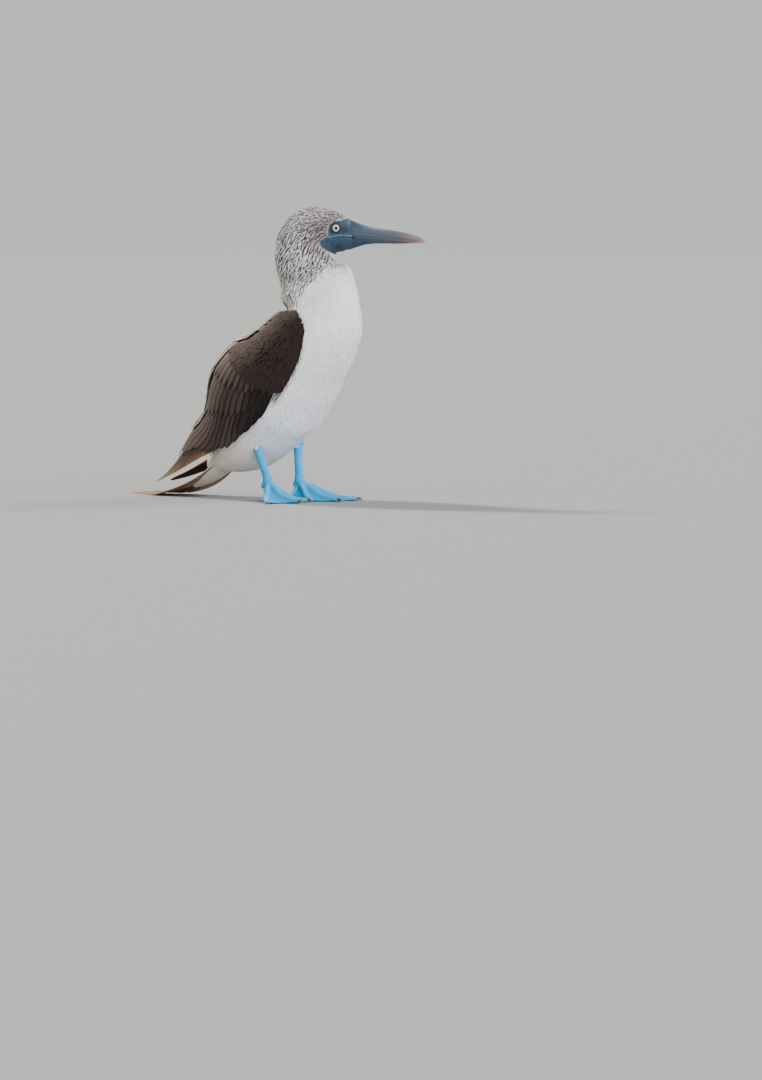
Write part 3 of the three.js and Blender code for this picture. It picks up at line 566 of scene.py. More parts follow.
def groundColour(index, angle, points):  # root and tip colours of the plain plumage; the roots carry painted shade, the lower belly painted warm light and the cheeks partly painted shade
    a = np.abs(angle)
    # cream towards the lower belly: painted warm bounce light
    low = smooth(118 - points[..., 2], 0, 70)[..., None] * smooth(12 - index, 5, 9)[..., None]
    ground = mix(white, cream, low * 0.8)
    streaky = np.maximum(streaked(index, angle), smooth(index, 14.6, 15.6) * 0.8)
    head = (smooth(index, 11.4, 13.2) * streaky)[..., None]
    upper = smooth(index, 14.2, 16.5)[..., None]
    tip = mix(ground, mix(paleNeck, paleHead, upper), head)
    # roots greyer, or taupe and beige on the head: painted shade in the grooves between the feathers
    root = mix(mix(ground, paintedShadeWhite, 0.45), mix(taupe, beige, upper), head)
    # greyer on the sides of the head: partly fine grey streaking, partly painted shade
    greyAndShadeOnCheek = (smooth(index, 14.8, 17) * smooth(a, 45, 80) * (1 - smooth(a, 150, 175)))[..., None]
    return root, mix(tip, sideHeadGreyAndShade, greyAndShadeOnCheek * 0.8)


# Skin

skinSettings = {"rings": 260, "sides": 144, "depth": 2.2, "mouthGroove": 1.3, "thighRings": 40, "thighSides": 32}
eyes = []
for side in (-1, 1):
    ahead = math.radians(headFrame["eyeAhead"])
    out = leftward * side * math.cos(ahead) + forward * math.sin(ahead)
    eyes.append({"centre": inHead(headFrame["eyeBack"], 0, side * headFrame["eyeOut"]), "out": out})


def skinDepth(index, points):  # the coat is thick on the body and gone on the bare face
    ahead, up, _ = headPlace(points)
    onHead = smooth(index, headStart, 17)
    bare = smooth(bareDistance(ahead, up), -3, 0.5) * (index > headStart)
    return skinSettings["depth"] * (1 - 0.35 * onHead) * (1 - bare), bare


def buildSkin():
    share, around, poles, faces = ballGrid(skinSettings["rings"], skinSettings["sides"])
    index = share * flesh.last
    outer = flesh.point(share, around)
    depth, bare = skinDepth(index, outer)
    points = outer - flesh.normal(np.clip(share, 0.004, 0.996), around) * depth[:, None]
    points[poles] = flesh.centre(share[poles])
    ahead, up, left = headPlace(points)
    nearMouth = np.exp(-((up - mouthHeight(ahead)) / 0.8) ** 2) * smooth(ahead, -7.5, -3) * (index > 15)
    inward = -np.sign(left)[:, None] * leftward
    points = points + inward * (nearMouth * skinSettings["mouthGroove"])[:, None]
    for eye in eyes:
        rel = points - eye["centre"]
        height = rel @ eye["out"]
        r = np.linalg.norm(rel - height[:, None] * eye["out"], axis=1)
        near = (height > 0) & (r < 9.5) & (index > 15)
        lid = np.where(r < 5.4, np.sqrt(np.maximum(49 - r**2, 0)) - 1.6, 4.9)
        wanted = mix(lid, height, smooth(r, 5.6, 9.2))
        points[near] += ((wanted - height)[:, None] * eye["out"])[near]
    colour = groundColour(index, around, outer)[0][:, :3] * mix(1, 0.7, streaked(index, around))[:, None]
    blue = faceToBill(ahead)
    lore = np.exp(-((up + 2) / 6) ** 2 - ((ahead - 11) / 7) ** 2)  # darker before the eye, the lores' own colour, and under the mouth, painted shadow
    lore = lore + 0.7 * np.exp(-((up + 25) / 5) ** 2 - ((ahead - 3) / 7) ** 2)
    blue = mix(blue, loreAndShadowBlue[:3], np.clip(lore, 0, 1)[:, None] * 0.95)
    # lighter at the top towards the bill's base: painted highlight
    blue = blue * mix(1, 1.5, smooth(ahead, 8, 20) * smooth(up, -3, 7))[:, None]
    reachEye = np.hypot(ahead - headFrame["eyeBack"], up)
    blue = mix(blue, ringBlue[:3], (1 - smooth(reachEye, 7.2, 9.5))[:, None])
    gape = np.exp(-((up - mouthHeight(ahead) - 1.9) / 0.9) ** 2)  # a pale line over the mouth
    gape = gape * smooth(ahead, -16, -8) * (1 - smooth(ahead, 20, 26))
    blue = mix(blue, gapeBlue[:3], gape[:, None] * 0.8)
    # darker in the groove along the mouth: painted shade
    blue = mix(blue, loreAndShadowBlue[:3] * 0.5, (nearMouth * 0.8)[:, None])
    colour = mix(colour, blue, smooth(bare, 0.2, 0.9)[:, None])
    parts = [(points, faces)]
    tones = [colour]
    bareness = [bare]
    for leg in legs.values():
        thigh = limb(leg["thigh"], lambda t: leg["thighRadius"](t) - skinSettings["depth"],
                     skinSettings["thighRings"], skinSettings["thighSides"])
        parts.append(thigh[:2])
        tones.append(np.repeat(mix(white, cream, 0.5)[None, :3], len(thigh[0]), 0))
        bareness.append(np.zeros(len(thigh[0])))
    allPoints, allFaces = joinParts(parts)
    piece = newPiece("skin", allPoints, allFaces, "skin",
                     ("torso", "neck", "head", "thigh_left", "thigh_right"))
    paint(piece, "plumage", np.vstack(tones))
    paint(piece, "bare", np.concatenate(bareness))
    print("skin", len(allFaces), "faces")


# Legs

legSettings = {"ankleHeight": 28, "stance": 59, "thighEnd": 74, "toeRings": 90, "hindRings": 40, "toeSides": 20,
               "voxel": 0.62, "smoothing": 4, "scute": 1.9, "webRows": 40, "webColumns": 28}
toeSettings = {  # length, degrees outwards on the right and on the left, radius, claw, joints
    "outer": (90.6, 44, 18, 3.9, 8, 4),
    "middle": (88, 15, -7, 4.1, 10, 3),
    "inner": (66, -12, -32, 3.7, 8, 2),
    "hind": (26.4, -64, -84, 2.9, 6.5, 1),
}
legs = {}
for name, side, heel in (("right", -1, (-17, -33.5, 79)), ("left", 1, (-9, 36.5, 80))):
    ankle = np.array([0, side * legSettings["stance"] / 2, legSettings["ankleHeight"]])
    heel = np.array(heel, float)
    share = (heel[2] - legSettings["thighEnd"]) / (heel[2] - ankle[2])
    end = mix(heel, ankle, share)
    down = unit(ankle - heel)
    legs[name] = {
        "side": side, "ankle": ankle, "heel": heel,
        "thigh": smoothCurve([(heel[0] + 8, heel[1] - side * 2, 128), (heel[0] + 2, heel[1] - side, 104),
                              heel + (0, 0, 4), end + down * 6]),
        "thighRadius": lambda t: mix(22, 6.2, smooth(t, 0.22, 0.8)) * np.sin(np.minimum(t * 3.2 + 0.35, 1.5)),
    }


def toeLine(leg, name):
    length, right, left = toeSettings[name][:3]
    out = math.radians(right if leg["side"] < 0 else left) * leg["side"]
    way = np.array([math.cos(out), math.sin(out), 0])
    heights = (18, 13, 8, 4.4, 2.4) if name == "hind" else (21, 18, 12.5, 7.2, 4, 2.9, 2.7)
    knots = []
    for i, height in enumerate(heights):
        share = i / (len(heights) - 1)
        bow = math.sin(math.pi * share) * 1.5 * leg["side"]
        spot = leg["ankle"][:2] + way[:2] * (share * (length - 3) + 3) + np.array([-way[1], way[0]]) * bow
        knots.append((*spot, height))
    return smoothCurve(knots), way


def grownTogether(points, faces):  # one skin over overlapping shapes, and the old point nearest each new one
    mesh = bpy.data.meshes.new("joined")
    mesh.from_pydata(points, [], faces)
    carrier = bpy.data.objects.new("joined", mesh)
    bpy.context.scene.collection.objects.link(carrier)
    remesh = carrier.modifiers.new("skin", "REMESH")
    remesh.mode, remesh.voxel_size = "VOXEL", legSettings["voxel"] * 1
    whole = bpy.data.meshes.new_from_object(carrier.evaluated_get(bpy.context.evaluated_depsgraph_get()))
    bpy.data.objects.remove(carrier)
    bm = bmesh.new()
    bm.from_mesh(whole)
    for _ in range(legSettings["smoothing"]):
        bmesh.ops.smooth_vert(bm, verts=bm.verts, factor=0.5, use_axis_x=True, use_axis_y=True, use_axis_z=True)
    tree = KDTree(len(points))
    for i, point in enumerate(points):
        tree.insert(point, i)
    tree.balance()
    source = np.array([tree.find(v.co)[1] for v in bm.verts])
    points, faces = meshOf(bm)
    points[:, 2] = np.maximum(points[:, 2], 0)
    return points, faces, source


legBlue, webBlue, paleBlue = (hexColour(c) for c in ("#0caada", "#0098d6", "#68c2e2"))


def buildLeg(name, leg):
    s = legSettings
    line = smoothCurve([leg["heel"], mix(leg["heel"], leg["ankle"], 0.5) + (-0.8, 0, 0), leg["ankle"] + (0, 0, 1),
                        leg["ankle"] + (2, 0, -8)])
    thick = lambda t: mix(6.5, 4.9, smooth(t, 0, 0.4)) + 1.5 * smooth(t, 0.6, 0.95)
    shank = limb(line, thick, 60, 28, 1.18)
    piece = newPiece(f"shank_{name}", shank[0], shank[1], "leg", (f"tarsus_{name}",))
    tone = mix(legBlue[:3], paleBlue[:3], 0.35 * smooth(shank[0][:, 2:], 30, 70))
    paint(piece, "plumage", tone)
    paint(piece, "plates", shank[2] * 30)

    toes = {toe: toeLine(leg, toe) for toe in toeSettings}
    parts, tones, plates = [], [], []

    def keep(shape, colour, bands):
        shape[0][:, 2] = np.maximum(shape[0][:, 2], 0)
        parts.append(shape[:2])
        tones.append(np.broadcast_to(colour, (len(shape[0]), 3)))
        plates.append(np.broadcast_to(bands, len(shape[0])))

    ankleShapes = (  # the knots of each lobe, from the ankle, and its radius
        (((-5, 0, -11), (0, 0, -5), (11, 0, -10)), 6.6),
        (((0, 0, 5), (0.4, 0, -4), (2, 0, -12)), 6.5),
    )
    for knots, size in ankleShapes:
        ankleLine = smoothCurve([leg["ankle"] + np.array(k) for k in knots])
        keep(limb(ankleLine, lambda t: size * np.ones_like(t), 24, 24), legBlue[:3], 0)
    for toe, (curve, _) in toes.items():
        length, _, _, radius, _, joints = toeSettings[toe]
        swell = lambda t: radius * (mix(1.12, 0.8, t) + 0.07 * np.cos(2 * math.pi * joints * t))
        scutes = lambda t: 1 + 0.02 * np.cos(t * length / s["scute"] * 2 * math.pi)
        blunt = lambda t: swell(t) * np.minimum(1, np.sqrt((1 - t) * 12 + 0.05)) * scutes(t)
        shape = limb(curve, blunt, s["hindRings"] if toe == "hind" else s["toeRings"], s["toeSides"])
        keep(shape, mix(legBlue[:3], paleBlue[:3], 0.3), shape[2] * length / s["scute"])
    webs = (  # two toes, how far along them the web reaches and how deep its edge dips
        ("outer", "middle", 0.97, 0.1),
        ("middle", "inner", 0.97, 0.07),
        ("inner", "hind", 0.93, 0.3),
    )
    for first, second, reach, dip in webs:
        shape = vaneShape(s["webRows"], s["webColumns"])
        u, v = shape["row"] / (s["webRows"] - 1), shape["x"] / 2 + 0.5
        end = reach * (1 - dip * np.sin(math.pi * v))
        along = mix(0.1, end, u) * 0.985
        points = mix(toes[first][0](along), toes[second][0](along), v[:, None])
        sag = np.sin(math.pi * v) * mix(0.6, 1.4, u)
        folds = 0.35 * np.sin(v * 34 + u * 2) * np.sin(math.pi * v) * smooth(u, 0.15, 0.5)
        points[:, 2] = np.maximum(points[:, 2] - sag + folds, 0.75) + shape["z"] * mix(1.7, 1.1, u)
        keep((points, shape["faces"].tolist()), mix(webBlue[:3], legBlue[:3], 0.25), 0)
    points, faces = joinParts(parts)
    tones, plates = np.vstack(tones), np.concatenate(plates)
    points, faces, source = grownTogether(points, faces)
    piece = newPiece(f"webbedFoot_{name}", points, faces, "leg", (f"foot_{name}",))
    paint(piece, "plumage", tones[source])
    paint(piece, "plates", plates[source])
    for toe, (curve, way) in toes.items():  # the claws
        radius, clawLength = toeSettings[toe][3:5]
        end, ahead = curve(0.955), unit(curve(0.965) - curve(0.945))
        clawLine = smoothCurve([end - ahead * 2, end + ahead * clawLength * 0.45 + (0, 0, 0.9),
                                end + ahead * clawLength * 0.8 + (0, 0, 0.1),
                                np.array([end[0], end[1], 0.9]) + way * clawLength])
        nail = limb(clawLine, lambda t: radius * 0.62 * np.sqrt(np.maximum(1 - t, 0)) + 0.02, 20, 14, 0.9)
        nail[0][:, 2] = np.maximum(nail[0][:, 2], 0)
        newPiece(f"nail_{name}_{toe}", nail[0], nail[1], "claw", (f"claw_{name}_{toe}",))


buildSkin()
for name, leg in legs.items():
    buildLeg(name, leg)
print("skin and legs made")

# Eyes and lids

eyeSettings = {"radius": 7, "rings": 96, "sides": 64, "lidRadius": 5.75, "lidThick": 0.85, "lidHeight": 4.75,
               "lidSides": 16, "lidSteps": 72}


def axisFrame(out):  # two directions square to the eye's axis
    first = unit(np.cross(upward, out))
    return first, np.cross(out, first)


for eye, name in zip(eyes, ("right", "left")):
    share, around, _, faces = ballGrid(eyeSettings["rings"], eyeSettings["sides"])
    off, a = (1 - share) * math.pi, np.radians(around)
    first, second = axisFrame(eye["out"])
    bulge = eyeSettings["radius"] * (1 + 0.045 * np.exp(-(off / 0.55) ** 2))
    spot = lambda r, angle, height: (first * (r * np.cos(angle))[:, None] + second * (r * np.sin(angle))[:, None]
                                     + eye["out"] * height[:, None])
    ball = eye["centre"] + spot(bulge * np.sin(off), a, bulge * np.cos(off))
    piece = newPiece(f"eyeball_{name}", ball, faces, "eye", (f"eye_{name}",))
    paint(piece, "gaze", off / (math.pi / 2))
    bm = bmesh.new()
    bmesh.ops.create_circle(bm, segments=eyeSettings["lidSides"], radius=eyeSettings["lidThick"])
    bmesh.ops.rotate(bm, verts=bm.verts, matrix=Matrix.Rotation(math.pi / 2, 3, "X"))
    bmesh.ops.translate(bm, verts=bm.verts, vec=(eyeSettings["lidRadius"], 0, 0))
    bmesh.ops.spin(bm, geom=bm.verts[:] + bm.edges[:], cent=(0, 0, 0), axis=(0, 0, 1), angle=2 * math.pi,
                   steps=eyeSettings["lidSteps"], use_merge=True)
    bmesh.ops.remove_doubles(bm, verts=bm.verts, dist=1e-4)
    bmesh.ops.recalc_face_normals(bm, faces=bm.faces)
    ring, faces = meshOf(bm)
    angle = np.arctan2(ring[:, 1], ring[:, 0])
    r = np.hypot(ring[:, 0], ring[:, 1])
    folds = 1 + 0.08 * np.sin(angle * 23)
    lidTop = eyeSettings["lidHeight"] + ring[:, 2] * 0.8 * folds
    lid = eye["centre"] + spot(r * (1 + 0.03 * np.cos(2 * angle)), angle, lidTop)
    piece = newPiece(f"eyelid_{name}", lid, faces, "skin")
    paint(piece, "plumage", np.repeat(ringBlue[None, :3], len(ring), 0) * 0.85)
    paint(piece, "bare", np.ones(len(ring)))
print("eyes made")

# Bill

billSettings = {"rings": 150, "sides": 72, "start": 19.6, "gap": 0.12, "groove": 0.45}
billRows = [  # ahead, up, half depth, half width
    (14, -8.8, 22.2, 14),
    (21.5, -9.2, 18.9, 12.2),
    (30, -9.5, 15.7, 10.6),
    (40, -9.5, 12.6, 9.1),
    (52, -10.1, 10.6, 7.8),
    (66, -11, 9.6, 6.8),
    (80, -12.2, 8.6, 5.8),
    (92, -13.4, 7.2, 4.9),
    (102, -14.4, 5.8, 4),
    (110, -15.7, 4.2, 3),
    (116, -17.2, 2.2, 1.9),
    (119.6, -18.3, 0.5, 0.7),
]
bill = Loft([(*inHead(a, u), deep, wide, -4, headFrame["turn"]) for a, u, deep, wide in billRows])


def buildBill(name, upper):
    share, around, poles, faces = ballGrid(billSettings["rings"], billSettings["sides"])
    points = bill.point(share, around)
    points[poles] = bill.centre(share[poles])
    ahead, up, left = headPlace(points)
    suture = billSettings["start"] + 2.2 * np.sin(np.radians(np.abs(around)))
    hidden = smooth(suture - ahead, -0.15, 0.9)
    centre = bill.centre(share)
    points = mix(points, centre, (hidden * 0.16)[:, None])
    ahead, up, left = headPlace(points)
    line = mouthHeight(ahead)
    grooveUp = line + mix(6.5, 2.2, smooth(ahead, 22, 95))
    dent = np.exp(-((up - grooveUp) / 0.7) ** 2) * smooth(ahead, 20, 30) * (1 - smooth(ahead, 98, 110))
    inward = -np.sign(left) * dent * billSettings["groove"] * smooth(np.abs(left), 0.5, 2)
    points += inward[:, None] * leftward
    limit = line + (billSettings["gap"] if upper else -billSettings["gap"])
    height = np.maximum(up, limit) if upper else np.minimum(up, limit)
    points[:, 2] += height - up
    crushed = (up < limit) if upper else (up > limit)
    piece = newPiece(f"mandible_{name}", points, faces, "bill", (f"bill_{name}",))
    slate, ridge, mauve, orange = (hexColour(c)[:3] for c in ("#474c52", "#747f85", "#7f6966", "#cf8b3e"))
    tone = mix(faceToBill(ahead), slate, smooth(ahead, 34, 75)[:, None])
    tone = tone * mix(0.7, 1, smooth(ahead, 17, 50))[:, None]
    # paler along the top: partly the horn's own paler ridge, partly painted highlight
    top = smooth(np.cos(np.radians(around)), 0.45, 0.95)
    top = top * (1 - 0.5 * smooth(ahead, 45, 90)) * smooth(ahead, 22, 56)
    tone = mix(tone, ridge, (top * 0.75)[:, None])
    tone = mix(tone, mauve, (smooth(ahead, 78, 108) * 0.8)[:, None])
    nearTip = smooth(ahead, 103, 116) * (1 - smooth(up - line, 0.6, 3.2)) if upper else smooth(ahead, 92, 112)
    tone = mix(tone, orange, (nearTip * 0.85)[:, None])
    # darker in the groove: painted shade
    tone = tone * mix(1, 0.78, dent)[:, None]
    # darker where pressed onto the mouth line: painted shade inside the closed mouth
    tone = mix(tone, tone * 0.45, crushed[:, None])
    paint(piece, "plumage", tone)


buildBill("upper", True)
buildBill("lower", False)
print("bill made")

# Plumage of the body and the head

wingEdgeAngles = (60, 68, 78, 90, 98, 106, 114, 124, 130, 130, 129, 126, 112, 86)  # at each station of the bed
wingEdge = smoothCurve([(i, a) for i, a in enumerate(wingEdgeAngles)])
wingReach = {"left": 0.87, "right": -1.0}  # the left wing is held a little closer
bedLast = len(wingEdgeAngles) - 1
bedAhead = 2  # a station of the trunk lies this much further along the wings' bed


def wingNear(index, angle):  # a place on the trunk: its angle as on the right side, and that of the wing's edge
    edge = wingEdge(np.clip((index + bedAhead) / bedLast, 0, 1))[..., 1]
    return np.where(angle > 0, angle / wingReach["left"], -angle), edge


def underWing(index, angle):  # parts of the trunk that the folded wings hide
    near, edge = wingNear(index, angle)
    return (index > 2.5) & (index < 10.4) & (near > 42) & (near < edge - 12)


coatSettings = {
    "breast": {"low": 0.3, "high": 12.4, "gap": 1.95, "length": 13, "half": 2.0, "seed": 3, "tries": 460000,
               "parting": 6.2},
    "neck": {"low": 10.8, "high": 15.0, "gap": 1.75, "length": 9, "half": 1.35, "seed": 4, "tries": 160000,
             "streakGap": 3.5, "streakLength": 9.0, "streakHalf": 0.95},
    "head": {"low": 15.0, "high": 21.6, "gap": 1.45, "length": 6.6, "half": 1.05, "seed": 5, "tries": 200000,
             "streakGap": 2.85, "streakLength": 7.6, "streakHalf": 0.78},
}


mantleSettings = {"low": 2.0, "high": 11.2, "gap": 6.2, "length": 25, "half": 5.8, "rows": 6, "seed": 51}


def mantleHere(index, angle):  # the back between the wings, where larger scalloped feathers lie
    low, high = mantleSettings["low"], mantleSettings["high"]
    return (index > low) & (index < high) & (np.abs(angle) < 50 - 14 * smooth(index, 9.8, high))


def coatPlaces(index, angle):  # each root's place on the flesh's unwrap
    return np.stack([(angle + 180) / 360, index / flesh.last], -1)


def buildBreast():
    s = coatSettings["breast"]
    gap = lambda i, a: s["gap"] * mix(1, 0.8, smooth(i, 9.5, 12))
    here = lambda i, a: ~underWing(i, a) & ~mantleHere(i, a)
    index, angle = spread(flesh, gap, here, s["low"], s["high"], s["seed"], tries=s["tries"])
    count = len(index)
    draw = np.random.default_rng(s["seed"])
    size = mix(1, 0.7, smooth(index, 9.5, 12)) * draw.uniform(0.85, 1.2, count)
    share = np.linspace(0, 1, 3)[None]
    lift = mix(-2.7, 0.1, share**0.6) + draw.uniform(-0.12, 0.12, (count, 1))
    swing = draw.uniform(-8, 8, count)
    centre, normal = lieOn(flesh, index / flesh.last, angle, s["length"] * size, 3, lift, swing)
    half = s["half"] * size[:, None] * np.array([0.8, 1.0, 0.06])[None]
    root, tip = groundColour(index, angle, flesh.point(index / flesh.last, angle))
    tip = tip * draw.uniform(0.96, 1.0, (count, 1))
    near, edge = wingNear(index, angle)
    armpit = np.exp(-((near - edge - 0.5) / 4.2) ** 2) * smooth(index, 6.5, 7.3) * (1 - smooth(index, 9.2, 9.8))
    mottled = (np.clip(armpit * 1.9, 0, 1) * (1 - draw.uniform(0, 0.75, count) ** 2))[:, None]
    tip = mix(tip, hexColour("#5e5550"), mottled)
    root = mix(root, hexColour("#77706b"), mottled)
    places = coatPlaces(index, angle)
    for part, chosen in (("breast", index >= s["parting"]), ("belly", index < s["parting"])):
        growVanes(f"plumage_{part}", tuftShape(), centre[chosen], normal[chosen], half[chosen],
                  0.07 * half[chosen] + 0.03, "contour", (root[chosen], tip[chosen]),
                  places[chosen])


def buildStreaks(name):
    s = coatSettings[name]
    inFace = lambda i, a: bareDistance(*headPlace(flesh.point(i / flesh.last, a))[:2])
    fromFace = lambda i, a: np.where(i > headStart, inFace(i, a), -20)
    small = lambda i: mix(1, 0.55, smooth(i, 17, 20.5))
    draw = np.random.default_rng(s["seed"])
    pale = spread(flesh, lambda i, a: s["gap"] * small(i), lambda i, a: fromFace(i, a) < 0.2, s["low"], s["high"],
                  s["seed"], tries=s["tries"])
    density = lambda i, a: streaked(i, a) ** 1.5 * mix(1, 0.62, smooth(i, 17, 19.5))  # fewer on the crown, partly painted rim light
    streakHere = lambda i, a: (fromFace(i, a) < -2) & (draw.uniform(0, 1, len(i)) < density(i, a))
    dark = spread(flesh, lambda i, a: s["streakGap"] * small(i), streakHere, s["low"], s["high"], s["seed"] + 40)
    index, angle = (np.concatenate(pair) for pair in zip(pale, dark))
    count = len(index)
    isDark = np.arange(count) >= len(pale[0])
    scale = small(index) * draw.uniform(0.8, 1.2, count)
    share = np.linspace(0, 1, 3)[None]
    uneven = draw.uniform(-0.22, 0.22, (count, 1))
    lift = np.where(isDark[:, None], mix(-0.7, 0.6, share), mix(-2.0, 0.2, share) + uneven)
    length = np.where(isDark, s["streakLength"], s["length"]) * scale
    backward = -20 * np.sign(angle) * smooth(np.abs(angle), 12, 50) * (1 - smooth(index, 17, 19))
    swing = backward + draw.uniform(-13, 13, count) * np.where(isDark, 1.4, 1)
    centre, normal = lieOn(flesh, index / flesh.last, angle, length, 3, lift, swing)
    streakWidth, paleWidth = np.array([[0.45, 1.0, 0.05]]), np.array([[0.85, 1.0, 0.06]])
    width = np.where(isDark[:, None], s["streakHalf"] * streakWidth, s["half"] * paleWidth)
    half = width * scale[:, None]
    root, tip = groundColour(index, angle, flesh.point(index / flesh.last, angle))
    # greyer behind the bare face: partly grey streaking, partly painted shade
    greyAndShadeBehindFace = (1 - smooth(-fromFace(index, angle), 3, 17)) * smooth(-headPlace(centre[:, 1])[0], -4, 4)
    tip = mix(tip, sideHeadGreyAndShade, greyAndShadeBehindFace[:, None] * 0.7) * draw.uniform(0.86, 1.0, (count, 1))
    brown = mix(streakDark, streakBrown, draw.uniform(0, 1, (count, 1)))
    # softer, paler streaks on the crown: partly their own colour, partly painted rim light
    crown = (smooth(index, 16.2, 19.5) * (1 - smooth(np.abs(angle), 40, 90)))[:, None]
    brown = mix(brown, crownStreakPaleAndLit, crown * 0.8)
    root = np.where(isDark[:, None], brown, root)
    tip = np.where(isDark[:, None], mix(brown, taupe, 0.1), tip)
    growVanes(f"plumage_{name}", tuftShape(), centre, normal, half, 0.2 * half + 0.02, "contour",
              (root, tip), coatPlaces(index, angle))


buildBreast()
buildStreaks("neck")
buildStreaks("head")


thighSettings = {"count": 1100, "from": 0.3, "to": 0.92, "reach": 0.12, "seed": 8}


def buildThighs():
    s = thighSettings
    for name, leg in legs.items():
        draw = np.random.default_rng(s["seed"])
        t = draw.uniform(s["from"], s["to"], s["count"])
        angle = draw.uniform(0, 2 * math.pi, s["count"])
        share = np.linspace(0, 1, 3)[None]
        ts = t[:, None] + s["reach"] * share * (1 - 0.35 * smooth(t, 0.8, 1))[:, None]
        line, radius = leg["thigh"], leg["thighRadius"]
        within = np.minimum(ts, 1)
        along = unit(line(np.minimum(within + 0.01, 1)) - line(np.maximum(within - 0.01, 0)))
        side = unit(np.array([0.0, 1, 0]) - along * (along @ np.array([0.0, 1, 0]))[..., None])
        up = np.cross(along, side)
        normal = side * np.cos(angle)[:, None, None] + up * np.sin(angle)[:, None, None]
        beyond = along * ((ts - within) * np.linalg.norm(line(1.0) - line(0.0)))[..., None]
        close = mix(0.15, -0.9, smooth(ts, 0.95, 1.1))
        centre = line(within) + beyond + normal * (radius(within) + np.where(share > 0, close, -2.6))[..., None]
        half = np.repeat(np.array([[1.2, 1.5, 0.08]]), s["count"], 0) * draw.uniform(0.8, 1.2, (s["count"], 1))
        ground = np.repeat(mix(white, cream, 0.45)[None], s["count"], 0)
        growVanes(f"plumage_thigh_{name}", tuftShape(), centre, normal, half, 0.16 * half + 0.02, "contour",
                  # roots: painted shade between the tufts
                  (mix(ground, paintedShadeWhite, 0.5), ground),
                  np.stack([angle / 6.29, np.minimum(t, 0.99)], -1))


buildThighs()
print("body plumage grown")

# Wings, folded on a bed that follows the trunk and runs on over the tail

bedRows = [
    (-236, 0, 12, 7, 16, 14),
    (-205, 0, 21, 12, 25, 20),
    (-170, 0, 33, 23, 35, 27),
    (-137, 0, 47, 37, 46, 33),
    (-104, 0, 65, 50, 53, 36),
    (-75, 0, 80, 57, 57, 39),
    (-51, 0, 103, 68, 66, 43),
    (-34, 0, 126, 75, 72, 46),
    (-13.5, 0, 146.7, 74, 77, 49),
    (10.7, 0, 172.4, 67.5, 75, 55),
    (29.4, 0, 187.6, 60, 70, 61),
    (47.2, 0, 206.3, 55.5, 65, 68),
    (71, 0, 236.7, 52, 55, 82),
    (77, 0, 254, 47, 46, 95),
]
bed = Loft(bedRows)
armPad = {"from": 9.3, "to": 12.75, "top": (14, 40), "inset": 0.5, "low": 1.8, "high": 10.7}
padRows, padColumns = 40, 36
handPad = {"from": 5.4, "to": 10, "top": (90, 98), "inset": 8, "low": 0.5, "high": 3.2}
quillColumns, quillPatch = 6, 0.045  # a quill's faces across, and its width on the baked map
tiers = {  # roots and tips as index and angle on the bed at the front, middle and back
    "secondaries": {"roots": ((9.6, 117), (9.55, 84), (9.5, 36)), "tips": ((7.7, 124), (4.4, 116), (2.3, 40)),
                    "count": 16, "lift": 5.7, "half": 7.4, "rows": 14, "bow": 3, "tan": 0.5, "seed": 21},
    "greater": {"roots": ((9.7, 115), (9.7, 82), (9.7, 34)), "tips": ((8.6, 122), (6.6, 106), (4.7, 32)),
                "count": 15, "lift": 8.4, "half": 6.0, "rows": 10, "bow": 0, "tan": 0.2, "seed": 22},
    "median": {"roots": ((9.9, 114), (9.9, 80), (9.9, 30)), "tips": ((9, 121), (8.1, 100), (7, 26)),
               "count": 15, "lift": 10.7, "half": 5.2, "rows": 8, "bow": 0, "tan": 0.2, "seed": 23},
}


def onBed(index, angle, side, lift):
    t = np.clip(index / bed.last, 0, 1)
    turned = angle * wingReach[side]
    normal = bed.normal(t, turned)
    return bed.point(t, turned) + normal * np.asarray(lift)[..., None], normal


def padThick(pad, u, v):
    edge = np.sin(math.pi * mix(0.05, 0.95, v)) ** 0.3
    ends = np.sqrt(np.clip(1 - (np.maximum(u - 0.75, 0) / 0.26) ** 2, 0, 1))
    thin = mix(0.5, 1, smooth(v, 0.05, 0.45)) * mix(1, 0.85, smooth(u, 0.15, 0.6))
    return mix(1.4, pad["high"], edge * ends * thin)


def padPlace(pad, u, v):
    index = mix(pad["from"], pad["to"], u)
    top = mix(pad["top"][0], pad["top"][1], u)
    return index, mix(top, wingEdge(index / bed.last)[..., 1] - pad["inset"], v)


def buildPads(side):
    parts = []
    for pad in (armPad, handPad):
        shape = vaneShape(padRows, padColumns)
        u, v = shape["row"] / (padRows - 1), shape["x"] / 2 + 0.5
        index, angle = padPlace(pad, u, v)
        thick = padThick(pad, u, v)
        points = onBed(index, angle, side, pad["low"] + thick * (0.5 + 0.5 * shape["z"] * 2))[0]
        parts.append((points, shape["faces"].tolist()))
    points, faces = joinParts(parts)
    piece = newPiece(f"wingFlesh_{side}", points, faces, "contour", (f"wing_{side}",))
    paint(piece, "plumage", np.repeat(wingDark[None, :3], len(points), 0))


def bend(knots, t):  # a quadratic line through its ends, pulled towards the middle knot
    a, b, c = (np.array(k, float) for k in knots)
    t = np.asarray(t)[..., None]
    return a * (1 - t) ** 2 + 2 * b * t * (1 - t) + c * t**2


def vaneOutline(share, blunt=0.75):
    late = np.maximum(share - blunt, 0) / (1.02 - blunt)
    return mix(0.72, 1, smooth(share, 0, 0.45)) * np.sqrt(np.clip(1 - late**2, 0, 1))


